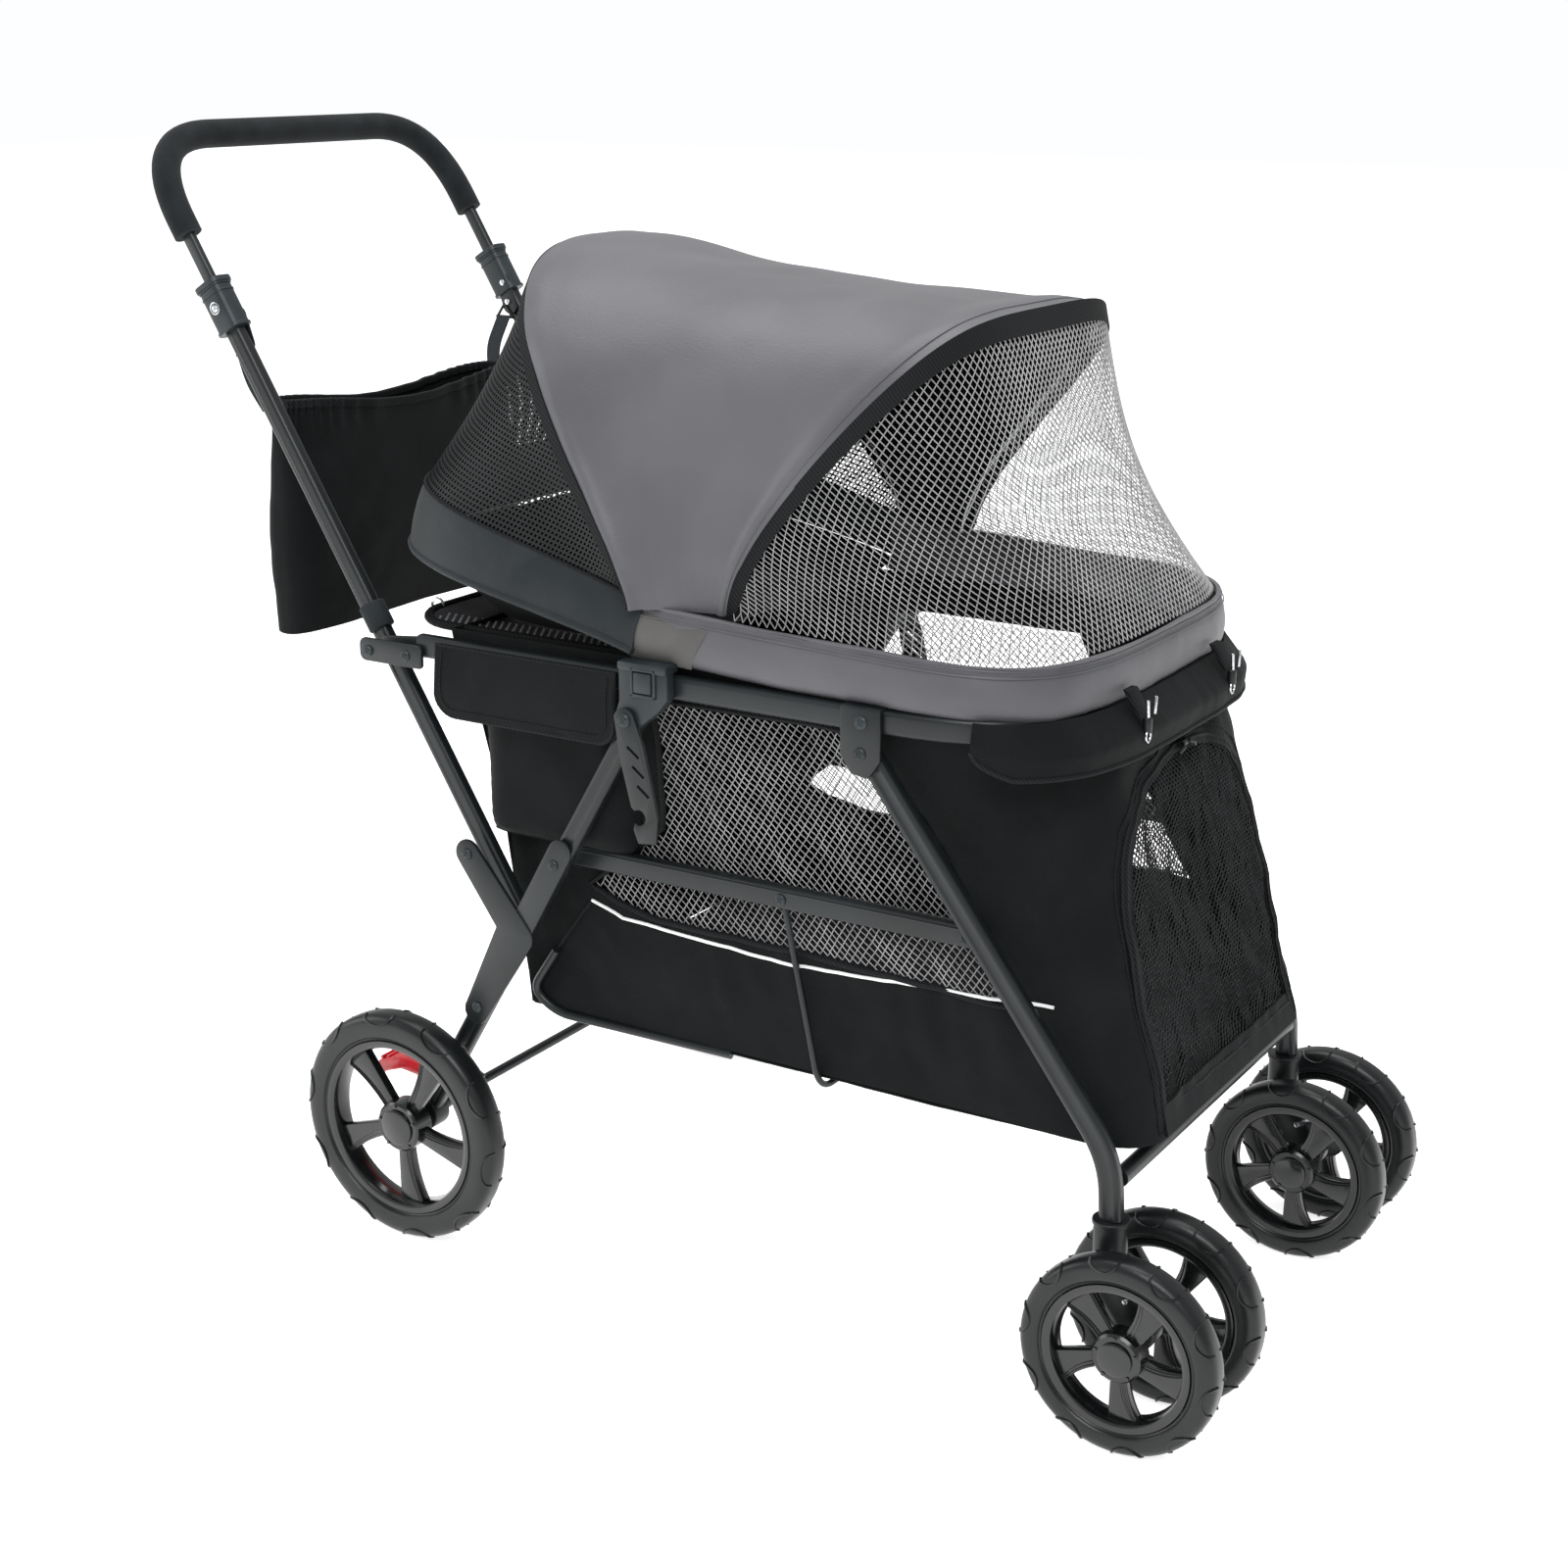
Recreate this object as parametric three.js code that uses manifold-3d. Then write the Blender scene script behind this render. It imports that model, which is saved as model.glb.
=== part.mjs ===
// A folding pet stroller: tube frame, fabric cabin, hood on three bows, twin-wheel casters in front.
// Millimetres. +X forward, +Y to the left, +Z up. Lengths along X are laid out from the rear axle,
// and the whole model is then centred, so that the origin is on the floor under its middle.
import * as THREE from "three";
import { mergeVertices } from "three/addons/utils/BufferGeometryUtils.js";
import Module from "manifold-3d";

const wasm = await Module();
wasm.setup();

// ---------- driving dimensions ----------
const REAR_WHEEL = { radius: 115, width: 30, x: 0, y: 261, rimRadius: 88, axleRadius: 5 };
const FRONT_WHEEL = { radius: 88, width: 28, x: 747, rimRadius: 66, axleRadius: 4 };
const WHEEL_SIDES = 36;
const HALF_FLAT = Math.PI / WHEEL_SIDES;
const CASTER = { x: 714, y: 200, half: 46, socketTop: 182 };
const LAYER = { frame: 226, handle: 207.5, bar: 197.5, plate: 236 }; // distances from the middle plane
const TUBE = { face: 20, thick: 14 };
const HANDLE_TUBE = { face: 19, thick: 13, wall: 2.2 };
const RAIL = { z: 586, height: 21, rear: 18, front: 641, corner: 200, power: 4.4 };
const CABIN = {
  half: 188,
  wall: 3,
  floor: 238,
  top: 574,
  bottomRear: 108,
  bottomFront: 736,
  topRear: 48,
  topFront: 632,
};
const TRAY = { rear: -30, front: 240, half: 196, bottom: 592, thick: 8 };
const RIM = { half: 230, front: 657, rear: 252, bottom: 600, top: 648, thick: 6, power: 4.5, curve: 227 };
const HOOD_PIVOT = { x: 300, z: 655 };
const BOWS = {
  front_bow: { half: 210, reach: 330, angle: 46.5, power: 4.2 },
  rear_bow: { half: 235, reach: 368, angle: 129.8, power: 2.3 },
  rear_hoop: { half: 226, reach: 335, angle: 166.6, power: 4.8 },
};
const BOW_WIRE = 2.5; // radius
const FABRIC = 2; // thickness of a hood panel
const GAP = 0.4; // between pieces that touch

// Pivots seen from the side, as [x, z].
const LATCH_PIVOT = [262, 556];
const FRONT_PIVOT = [490, 558];
const HANDLE_PIVOT = [-37, 576];
const REAR_HUB = [REAR_WHEEL.x, REAR_WHEEL.radius];
const ELBOW_TOP = [72, 397];
const ELBOW_KNEE = [131, 326];
const ELBOW_FOOT = [75, 241];
const BAR_REAR = [171, 403];
const BAR_FRONT = [596, 404];
const FRONT_BEND = [712, 236];

// The handle tubes lean back by this direction, from the foot to the grip.
const HANDLE_DIR = new THREE.Vector3(-0.5205, 0, 0.8539);
const HANDLE_FOOT = along([HANDLE_PIVOT[0], HANDLE_PIVOT[1]], -283);
const HANDLE_TOP = along([HANDLE_PIVOT[0], HANDLE_PIVOT[1]], 374);
const GRIP = { radius: 13.5, start: 428, bar: 531, corner: 88 };
const HANDLE_BAR = { face: 14, thick: 8, start: 235 };

// ---------- colours ----------
const FINISH = {
  frame: [0x23292b, 0.45, 0.6],
  steel: [0x9a9da0, 0.3, 1],
  plastic: [0x1b1e20, 0.5, 0],
  slate: [0x3a4347, 0.5, 0],
  foam: [0x111314, 0.9, 0],
  rubber: [0x17191a, 0.75, 0],
  rim: [0x1a1c1e, 0.3, 0],
  black_fabric: [0x0b0d0d, 0.9, 0],
  grey_fabric: [0x55555a, 0.8, 0],
  net: [0x9b9895, 0.8, 0],
  red: [0xe0102a, 0.4, 0],
};

// ---------- shapes ----------
/** A point of the handle line, a distance from the handle pivot towards the grip. */
function along([x, z], distance) {
  return [x + HANDLE_DIR.x * distance, z + HANDLE_DIR.z * distance];
}

/** A rectangle with round corners, across by up. */
function roundRect(across, up, radius) {
  const x = across / 2;
  const y = up / 2;
  const shape = new THREE.Shape();
  shape.moveTo(-x + radius, -y);
  shape.lineTo(x - radius, -y);
  shape.absarc(x - radius, -y + radius, radius, -Math.PI / 2, 0, false);
  shape.lineTo(x, y - radius);
  shape.absarc(x - radius, y - radius, radius, 0, Math.PI / 2, false);
  shape.lineTo(-x + radius, y);
  shape.absarc(-x + radius, y - radius, radius, Math.PI / 2, Math.PI, false);
  shape.lineTo(-x, -y + radius);
  shape.absarc(-x + radius, -y + radius, radius, Math.PI, Math.PI * 1.5, false);
  return shape;
}

/** The same rectangle as a tube section, with a bore all round. */
function hollowRect(across, up, radius, wall) {
  const shape = roundRect(across, up, radius);
  const bore = roundRect(across - 2 * wall, up - 2 * wall, Math.max(radius - wall, 1));
  shape.holes.push(bore);
  return shape;
}

/** A circle of straight sides. */
function polygon(radius, sides) {
  const shape = new THREE.Shape();
  for (let i = 0; i < sides; i++) {
    const a = (2 * Math.PI * (i + 0.5)) / sides;
    const go = i ? "lineTo" : "moveTo";
    shape[go](radius * Math.cos(a), radius * Math.sin(a));
  }
  shape.closePath();
  return shape;
}

/** A section swept along a path. */
function sweep(section, path, steps, curveSegments = 2) {
  return new THREE.ExtrudeGeometry(section, { extrudePath: path, steps, curveSegments, bevelEnabled: false });
}

/** A straight piece from one point to another. */
function straight(section, from, to, curveSegments = 2) {
  return sweep(section, new THREE.LineCurve3(from, to), 1, curveSegments);
}

/** A path of straight runs with a round bend of the given size at each inner corner. */
function bentPath(points, bend) {
  const path = new THREE.CurvePath();
  let last = points[0];
  for (let i = 1; i < points.length - 1; i++) {
    const before = points[i].clone().add(points[i - 1].clone().sub(points[i]).setLength(bend));
    const after = points[i].clone().add(points[i + 1].clone().sub(points[i]).setLength(bend));
    path.add(new THREE.LineCurve3(last, before));
    path.add(new THREE.QuadraticBezierCurve3(before, points[i], after));
    last = after;
  }
  path.add(new THREE.LineCurve3(last, points[points.length - 1]));
  return path;
}

/** A flat outline in the XZ plane given as a shape, as a plate between two distances from the middle. */
function plate(outline, near, far, curveSegments = 4) {
  const made = new THREE.ExtrudeGeometry(outline, { depth: far - near, bevelEnabled: false, curveSegments });
  made.rotateX(Math.PI / 2); // the outline's up is now +Z, and its depth runs to -Y
  made.translate(0, -near, 0);
  return made;
}

/** The outline of a bar with round ends between two points, as wide as given. */
function stadium([ax, az], [bx, bz], width) {
  const a = Math.atan2(bz - az, bx - ax);
  const shape = new THREE.Shape();
  shape.absarc(bx, bz, width / 2, a - Math.PI / 2, a + Math.PI / 2, false);
  shape.absarc(ax, az, width / 2, a + Math.PI / 2, a + Math.PI * 1.5, false);
  shape.closePath();
  return shape;
}

/** A cylinder across the object, between two distances along Y. */
function crossPin([x, z], radius, y0, y1, sides = 16) {
  const made = new THREE.CylinderGeometry(radius, radius, y1 - y0, sides);
  made.translate(x, (y0 + y1) / 2, z);
  return made;
}

function box(x0, x1, y0, y1, z0, z1) {
  const made = new THREE.BoxGeometry(x1 - x0, y1 - y0, z1 - z0);
  made.translate((x0 + x1) / 2, (y0 + y1) / 2, (z0 + z1) / 2);
  return made;
}

function solid(geometry) {
  const bare = geometry.index ? geometry.toNonIndexed() : geometry.clone();
  bare.deleteAttribute("normal");
  bare.deleteAttribute("uv");
  const merged = mergeVertices(bare, 1e-3);
  const vertProperties = merged.attributes.position.array;
  const triVerts = new Uint32Array(merged.index.array);
  return new wasm.Manifold(new wasm.Mesh({ numProp: 3, vertProperties, triVerts }));
}

function geometryOf(manifold) {
  const mesh = manifold.getMesh();
  const made = new THREE.BufferGeometry();
  made.setAttribute("position", new THREE.BufferAttribute(new Float32Array(mesh.vertProperties), 3));
  made.setIndex(new THREE.BufferAttribute(new Uint32Array(mesh.triVerts), 1));
  return made;
}

/** Geometries joined into one body. */
function join(...geometries) {
  return geometryOf(geometries.map(solid).reduce((a, b) => a.add(b)));
}

/** A geometry with others cut away from it. */
function cut(body, ...tools) {
  return geometryOf(tools.map(solid).reduce((a, b) => a.subtract(b), solid(body)));
}

/** The mirror image across the middle plane, with its faces turned the right way round. */
function mirrored(geometry) {
  const made = geometry.index ? geometry.toNonIndexed() : geometry.clone();
  made.scale(1, -1, 1);
  const p = made.attributes.position;
  for (let i = 0; i < p.count; i += 3) {
    const [x, y, z] = [p.getX(i + 1), p.getY(i + 1), p.getZ(i + 1)];
    p.setXYZ(i + 1, p.getX(i + 2), p.getY(i + 2), p.getZ(i + 2));
    p.setXYZ(i + 2, x, y, z);
  }
  return made;
}

/** A closed skin of even thickness over a grid of points, each with the direction of its outside. */
function skin(pointAt, columns, rows, thickness) {
  const outer = [];
  const inner = [];
  for (let r = 0; r <= rows; r++)
    for (let c = 0; c <= columns; c++) {
      const { point, out } = pointAt(c / columns, r / rows);
      outer.push(point);
      inner.push(point.clone().addScaledVector(out, -thickness));
    }
  const at = (r, c) => r * (columns + 1) + c;
  const n = outer.length;
  const faces = [];
  const quad = (a, b, c, d) => faces.push(a, b, c, a, c, d);
  for (let r = 0; r < rows; r++)
    for (let c = 0; c < columns; c++) {
      quad(at(r, c), at(r, c + 1), at(r + 1, c + 1), at(r + 1, c));
      quad(n + at(r, c), n + at(r + 1, c), n + at(r + 1, c + 1), n + at(r, c + 1));
    }
  for (let c = 0; c < columns; c++) {
    quad(at(0, c + 1), at(0, c), n + at(0, c), n + at(0, c + 1));
    quad(at(rows, c), at(rows, c + 1), n + at(rows, c + 1), n + at(rows, c));
  }
  for (let r = 0; r < rows; r++) {
    quad(at(r, 0), at(r + 1, 0), n + at(r + 1, 0), n + at(r, 0));
    quad(at(r + 1, columns), at(r, columns), n + at(r, columns), n + at(r + 1, columns));
  }
  const made = new THREE.BufferGeometry().setFromPoints([...outer, ...inner]);
  made.setIndex(faces);
  return solid(made).volume() < 0 ? turned(made) : made;
}

function turned(geometry) {
  const index = geometry.index.array;
  for (let i = 0; i < index.length; i += 3) [index[i + 1], index[i + 2]] = [index[i + 2], index[i + 1]];
  return geometry;
}

// ---------- the assembly ----------
const model = new THREE.Group();

function add(name, geometry, finish, parent = model) {
  const [color, roughness, metalness] = FINISH[finish];
  const mesh = new THREE.Mesh(geometry, new THREE.MeshStandardMaterial({ color, roughness, metalness }));
  mesh.name = name;
  parent.add(mesh);
  return mesh;
}

/** The right-hand piece as given, at -Y, and its mirror image at +Y. */
function addPair(name, geometry, finish) {
  add(name + "_right", geometry, finish);
  add(name + "_left", mirrored(geometry), finish);
}

const v = (x, y, z) => new THREE.Vector3(x, y, z);

// ---------- frame ----------
/** Half of a boxy arch: x runs forward, and power sets how square its corners are. */
function archPoint(half, reach, power, turn) {
  const c = Math.cos(turn);
  const s = Math.sin(turn);
  return [-half * Math.sign(c) * Math.abs(c) ** (2 / power), reach * Math.abs(s) ** (2 / power)];
}

/** A curve through the points of an arch in the plane z = height, with straight sides running back. */
class RailCurve extends THREE.Curve {
  getPoint(t) {
    const side = RAIL.front - RAIL.corner - RAIL.rear;
    const arc = RAIL.corner * 2.6;
    const length = 2 * side + arc;
    const s = t * length;
    if (s < side) return v(RAIL.rear + s, -LAYER.frame, RAIL.z);
    if (s > side + arc) return v(RAIL.rear + length - s, LAYER.frame, RAIL.z);
    const [y, x] = archPoint(LAYER.frame, RAIL.corner, RAIL.power, (Math.PI * (s - side)) / arc);
    return v(RAIL.front - RAIL.corner + x, y, RAIL.z);
  }
}

function buildTopFrame() {
  const section = roundRect(RAIL.height, TUBE.thick, 4);
  add("top_rail", sweep(section, new RailCurve(), 44), "frame");

  const bracket = join(
    plate(stadium([HANDLE_PIVOT[0], HANDLE_PIVOT[1]], [26, 583], 24), LAYER.plate - 1.6, LAYER.plate + 1.6),
    crossPin(HANDLE_PIVOT, 8, -LAYER.plate, -(LAYER.handle + HANDLE_TUBE.thick / 2 + GAP)),
  );
  addPair("rail_bracket", bracket, "frame");

  const outline = new THREE.Shape();
  const [px] = FRONT_PIVOT;
  outline.moveTo(px - 20, 598);
  outline.lineTo(px - 20, 560);
  outline.lineTo(px - 6, 538);
  outline.lineTo(px + 10, 538);
  outline.lineTo(px + 20, 556);
  outline.lineTo(px + 20, 598);
  outline.closePath();
  addPair("hinge_plate", plate(outline, LAYER.plate - 1.6, LAYER.plate + 1.6), "frame");
}

/** The block that locks the rear leg, with a square release button and a hook that hangs from its rivet. */
function buildLatches() {
  const [x, z] = LATCH_PIVOT;
  const inner = LAYER.frame + TUBE.thick / 2 + GAP;
  const outer = inner + 13;
  const block = new THREE.Shape();
  block.moveTo(x - 6, 608);
  block.lineTo(x - 8, 572);
  block.absarc(x, z, 13, Math.PI * 0.85, Math.PI * 1.75, false);
  block.lineTo(x + 34, 566);
  block.lineTo(x + 44, 580);
  block.lineTo(x + 44, 608);
  block.closePath();
  const square = (grow, near, far) =>
    box(x + 9 - grow, x + 29 + grow, -far, -near, 582 - grow, 600 + grow);
  addPair("latch_block", cut(plate(block, inner, outer), square(0.5, outer - 6, outer + 2)), "plastic");
  addPair("latch_button", square(-0.3, outer - 2.5, outer + 2.5), "slate");

  const hook = new THREE.Shape();
  const tip = [x + 33, 452];
  hook.absarc(x, z, 9, Math.PI * 0.1, Math.PI * 1.05, false);
  hook.lineTo(tip[0] - 22, tip[1] + 42);
  hook.lineTo(tip[0] - 8, tip[1] + 36);
  hook.absarc(tip[0] - 5, tip[1] + 27, 8, Math.PI * 0.6, -Math.PI * 0.7, true);
  hook.lineTo(tip[0] - 14, tip[1] + 12);
  hook.absarc(tip[0], tip[1] + 8, 8, Math.PI, Math.PI * 2, false);
  hook.lineTo(tip[0] + 6, tip[1] + 46);
  hook.closePath();
  addPair("fold_hook", plate(hook, outer + GAP, outer + GAP + 3), "frame");
}

function buildRearLegs() {
  const top = v(LATCH_PIVOT[0] + 5, 0, LATCH_PIVOT[1] + 8.4);
  const end = v(REAR_HUB[0] + 5, 0, REAR_HUB[1] + 8.4);
  top.y = end.y = -LAYER.frame;
  const leg = straight(roundRect(TUBE.thick, TUBE.face, 4), top, end);
  const hub = crossPin(REAR_HUB, 17, -(LAYER.frame + 9), -(LAYER.frame - 12), 20);
  const bore = crossPin(REAR_HUB, REAR_WHEEL.axleRadius + 0.3, -300, -100, 16);
  addPair("rear_leg", cut(join(leg, hub), bore), "frame");

  const half = REAR_WHEEL.y + REAR_WHEEL.width / 2 - 4;
  add("rear_axle", crossPin(REAR_HUB, REAR_WHEEL.axleRadius, -half, half), "steel");

  const pedal = new THREE.Shape();
  pedal.moveTo(-95, 128);
  pedal.quadraticCurveTo(-60, 158, -24, 138);
  pedal.lineTo(-20, 122);
  pedal.quadraticCurveTo(-60, 138, -92, 116);
  pedal.closePath();
  const eye = crossPin([-20, 129], 9, -196, -162);
  addPair("brake_pedal", join(plate(pedal, 156, 196, 5), eye), "red");
}

/** A bent link between the handle tube and the rear leg. */
function buildElbows() {
  const near = LAYER.frame + TUBE.thick / 2 + 1;
  const upper = plate(stadium(ELBOW_TOP, ELBOW_KNEE, 26), near, near + 5);
  const lower = plate(stadium(ELBOW_KNEE, ELBOW_FOOT, 27), near, near + 5);
  addPair("elbow_bracket", join(upper, lower), "frame");
}

function buildFrontLegs() {
  const [px, pz] = FRONT_PIVOT;
  const [bx, bz] = FRONT_BEND;
  const points = [
    v(px - 5, -LAYER.frame, pz + 7.3),
    v(bx, -CASTER.y - 2, bz),
    v(CASTER.x + 1, -CASTER.y, CASTER.socketTop + 1),
  ];
  const leg = sweep(roundRect(TUBE.thick, TUBE.face, 4), bentPath(points, 26), 22);
  addPair("front_leg", leg, "frame");
  const half = CASTER.y - TUBE.thick / 2 - 1.4;
  add("front_cross_tube", crossPin([bx + 4, 216], 8, -half, half, 12), "frame");
}

/** The bars that tie the legs together low down, and the wire under the floor that joins the bars. */
function buildSideBars() {
  const thick = 12;
  const from = v(BAR_REAR[0] - 8, -LAYER.bar, BAR_REAR[1]);
  const to = v(BAR_FRONT[0] + 8, -LAYER.bar, BAR_FRONT[1]);
  addPair("side_bar", straight(roundRect(thick, 20, 3), from, to), "frame");
  const y = LAYER.bar - 2;
  const points = [v(392, -y, 392.5), v(428, -y, 227), v(428, y, 227), v(392, y, 392.5)];
  add("floor_wire", sweep(polygon(3, 8), bentPath(points, 22), 46), "frame");
}

// ---------- handle ----------
function handlePoint(distance, y) {
  const [x, z] = along(HANDLE_PIVOT, distance);
  return v(x, y, z);
}

function buildHandle() {
  const section = hollowRect(HANDLE_TUBE.thick, HANDLE_TUBE.face, 5, HANDLE_TUBE.wall);
  const [fx, fz] = HANDLE_FOOT;
  const [tx, tz] = HANDLE_TOP;
  const foot = v(fx, -LAYER.handle, fz);
  const top = v(tx, -LAYER.handle, tz);
  addPair("handle_tube", straight(section, foot, top), "frame");

  const sleeve = (across, up, a, b) => {
    const shape = roundRect(across, up, 6);
    shape.holes.push(roundRect(HANDLE_TUBE.thick + 2 * GAP, HANDLE_TUBE.face + 2 * GAP, 5));
    return straight(shape, handlePoint(a, -LAYER.handle), handlePoint(b, -LAYER.handle));
  };
  const button = along(HANDLE_PIVOT, 352);
  const { handle } = LAYER;
  const pocket = crossPin(button, 5.2, -handle - 20, -handle - 6.6, 16);
  addPair("handle_sleeve", cut(join(sleeve(20, 26, 330, 373), sleeve(24, 30, 371, 378)), pocket), "slate");
  addPair("handle_button", crossPin(button, 4.6, -handle - 12.5, -handle - 9.2, 12), "plastic");

  const y = LAYER.handle;
  const barPath = (start) => {
    const points = [
      handlePoint(start, -y),
      handlePoint(GRIP.bar, -y),
      handlePoint(GRIP.bar, y),
      handlePoint(start, y),
    ];
    return bentPath(points, GRIP.corner);
  };
  const bar = roundRect(HANDLE_BAR.thick, HANDLE_BAR.face, 3.5);
  add("handle_bar", sweep(bar, barPath(HANDLE_BAR.start), 64), "frame");
  const foam = polygon(GRIP.radius, 12);
  foam.holes.push(roundRect(HANDLE_BAR.thick + 2 * GAP, HANDLE_BAR.face + 2 * GAP, 3.5));
  add("handle_grip", sweep(foam, barPath(GRIP.start), 40), "foam");
}

// ---------- wheels ----------
/** The tyre's section turned round the axle. Its tread is a ring of flats, and one of them faces down. */
function tyre(wheelRadius, width, seat) {
  const w = width / 2;
  const radius = wheelRadius / Math.cos(HALF_FLAT);
  const ring = [
    [seat, -w + 3],
    [radius - 12, -w],
    [radius - 4, -w + 4],
    [radius, -w + 11],
    [radius, w - 11],
    [radius - 4, w - 4],
    [radius - 12, w],
    [seat, w - 3],
  ];
  const profile = [...ring, ring[0]].map(([r, a]) => new THREE.Vector2(r, a));
  return new THREE.LatheGeometry(profile, WHEEL_SIDES);
}

/** A rim: outer ring, five spokes and a bored hub in one casting. */
function rim(radius, width, axle) {
  const w = width / 2;
  const turn = (points, sides) =>
    new THREE.LatheGeometry([...points, points[0]].map(([r, a]) => new THREE.Vector2(r, a)), sides);
  const ring = turn([[radius - 9, -w + 4], [radius, -w + 4], [radius, w - 4], [radius - 9, w - 4]], 36);
  const hub = turn([[axle, -w], [18, -w], [22, -w + 4], [22, w - 4], [18, w], [axle, w]], 20);
  const spokes = [];
  for (let i = 0; i < 5; i++) {
    const spoke = new THREE.CylinderGeometry(13, 8, radius - 22, 6, 1);
    spoke.scale(1, 1, 0.55);
    spoke.translate(0, (radius - 5 + 18) / 2, 0);
    spoke.rotateX(-Math.PI / 2);
    spoke.rotateY((2 * Math.PI * i) / 5);
    spokes.push(spoke);
  }
  return join(ring, hub, ...spokes);
}

function addWheel(name, wheel, x, y) {
  const group = new THREE.Group();
  group.position.set(x, y, wheel.radius);
  group.rotation.y = HALF_FLAT;
  add(name + "_tyre", tyre(wheel.radius, wheel.width, wheel.rimRadius + GAP), "rubber", group);
  add(name + "_rim", rim(wheel.rimRadius, wheel.width, wheel.axleRadius + 0.4), "rim", group);
  model.add(group);
}

/** A caster: a socket on the leg, a fork between the two wheels, and the axle that carries them. */
function casterFork() {
  const { x, y, half, socketTop } = CASTER;
  const stem = new THREE.CylinderGeometry(13, 15, 40, 16);
  stem.rotateX(Math.PI / 2);
  stem.translate(x, -y, socketTop - 20);
  const arm = new THREE.Shape();
  arm.moveTo(x - 15, 146);
  arm.lineTo(x + 15, 146);
  arm.quadraticCurveTo(x + 26, 124, FRONT_WHEEL.x + 13, 96);
  arm.absarc(FRONT_WHEEL.x, FRONT_WHEEL.radius, 14, Math.PI * 0.15, -Math.PI * 0.9, true);
  arm.quadraticCurveTo(x - 6, 112, x - 15, 146);
  const fork = plate(arm, y - 13, y + 13);
  const reach = half + FRONT_WHEEL.width / 2 - 3;
  const hub = [FRONT_WHEEL.x, FRONT_WHEEL.radius];
  const axle = crossPin(hub, FRONT_WHEEL.axleRadius, -y - reach, -y + reach, 12);
  return join(stem, fork, axle);
}

function buildWheels() {
    for (const [side, sign] of [["right", -1], ["left", 1]]) {
    addWheel("rear_" + side, REAR_WHEEL, REAR_WHEEL.x, sign * REAR_WHEEL.y);
    for (const [place, offset] of [["outer", 1], ["inner", -1]])
      addWheel(`front_${side}_${place}`, FRONT_WHEEL, FRONT_WHEEL.x, sign * (CASTER.y + offset * CASTER.half));
  }
  addPair("caster_fork", casterFork(), "plastic");
}

// ---------- fabric ----------
/** The cabin as seen from the side, shrunk inwards by a wall and carried up along its slopes. */
function cabinOutline(wall, rise) {
  const { floor, top, bottomRear, bottomFront, topRear, topFront } = CABIN;
  const over = rise / (top - floor);
  const shape = new THREE.Shape();
  shape.moveTo(bottomRear + wall, floor + wall);
  shape.lineTo(bottomFront - wall, floor + wall);
  shape.lineTo(topFront - wall + (topFront - bottomFront) * over, top + rise);
  shape.lineTo(topRear + wall + (topRear - bottomRear) * over, top + rise);
  shape.closePath();
  return shape;
}

function buildCabin() {
  const { half, wall } = CABIN;
  const outer = plate(cabinOutline(0, 0), -half, half);
  const inner = plate(cabinOutline(wall, 20), wall - half, half - wall);
  add("cabin_shell", cut(outer, inner), "black_fabric");
  add("floor_board", box(122, 708, -182, 182, CABIN.floor + wall + 1, CABIN.floor + wall + 7), "plastic");
  add("floor_pad", box(126, 702, -178, 178, CABIN.floor + wall + 8, CABIN.floor + wall + 24), "black_fabric");

  const deck = new THREE.Shape();
  const round = 60;
  deck.moveTo(TRAY.front, -TRAY.half);
  deck.lineTo(TRAY.front, TRAY.half);
  deck.lineTo(TRAY.rear + round, TRAY.half);
  deck.quadraticCurveTo(TRAY.rear, TRAY.half, TRAY.rear, TRAY.half - round);
  deck.lineTo(TRAY.rear, -TRAY.half + round);
  deck.quadraticCurveTo(TRAY.rear, -TRAY.half, TRAY.rear + round, -TRAY.half);
  deck.closePath();
  const tray = new THREE.ExtrudeGeometry(deck, { depth: TRAY.thick, bevelEnabled: false, curveSegments: 6 });
  tray.translate(0, 0, TRAY.bottom);
  add("rear_tray", tray, "grey_fabric");

  addPair("pocket_flap", box(47, 242, -243, -235.5, 528, 594), "black_fabric");
  const bag = cut(box(-228, -165, -172, 172, 558, 785), box(-224, -169, -168, 168, 562, 800));
  add("rear_bag", bag, "black_fabric");
}

// ---------- hood ----------
/** A point of a bow's arch, grown outwards, as the bow stands. */
function bowPoint(bow, turn, grow = 0) {
  const [y, reach] = archPoint(bow.half + grow, bow.reach + grow, bow.power, turn);
  const a = THREE.MathUtils.degToRad(bow.angle);
  return v(HOOD_PIVOT.x + reach * Math.cos(a), y, HOOD_PIVOT.z + reach * Math.sin(a));
}

class BowCurve extends THREE.Curve {
  constructor(bow, first) {
    super();
    this.bow = bow;
    this.first = first;
  }
  getPoint(t) {
    return bowPoint(this.bow, this.first + t * (Math.PI - 2 * this.first));
  }
}

function rimPoint(turn, z, inset = 0) {
  const [y, x] = archPoint(RIM.half - inset, RIM.curve - inset, RIM.power, turn);
  return v(RIM.front - RIM.curve + x, y, z);
}

/** A panel stretched between two edges, from one side over the top to the other. */
function stretched(edgeA, edgeB, rows, shareA = 0.02, shareB = 0.98) {
  const middle = v(300, 0, 700);
  return skin((u, w) => {
    const share = shareA + (shareB - shareA) * w;
    const point = edgeA(u).lerp(edgeB(u), share);
    const out = v(point.x - middle.x, point.y, point.z - middle.z).normalize();
    return { point, out };
  }, 28, rows, FABRIC);
}

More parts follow.
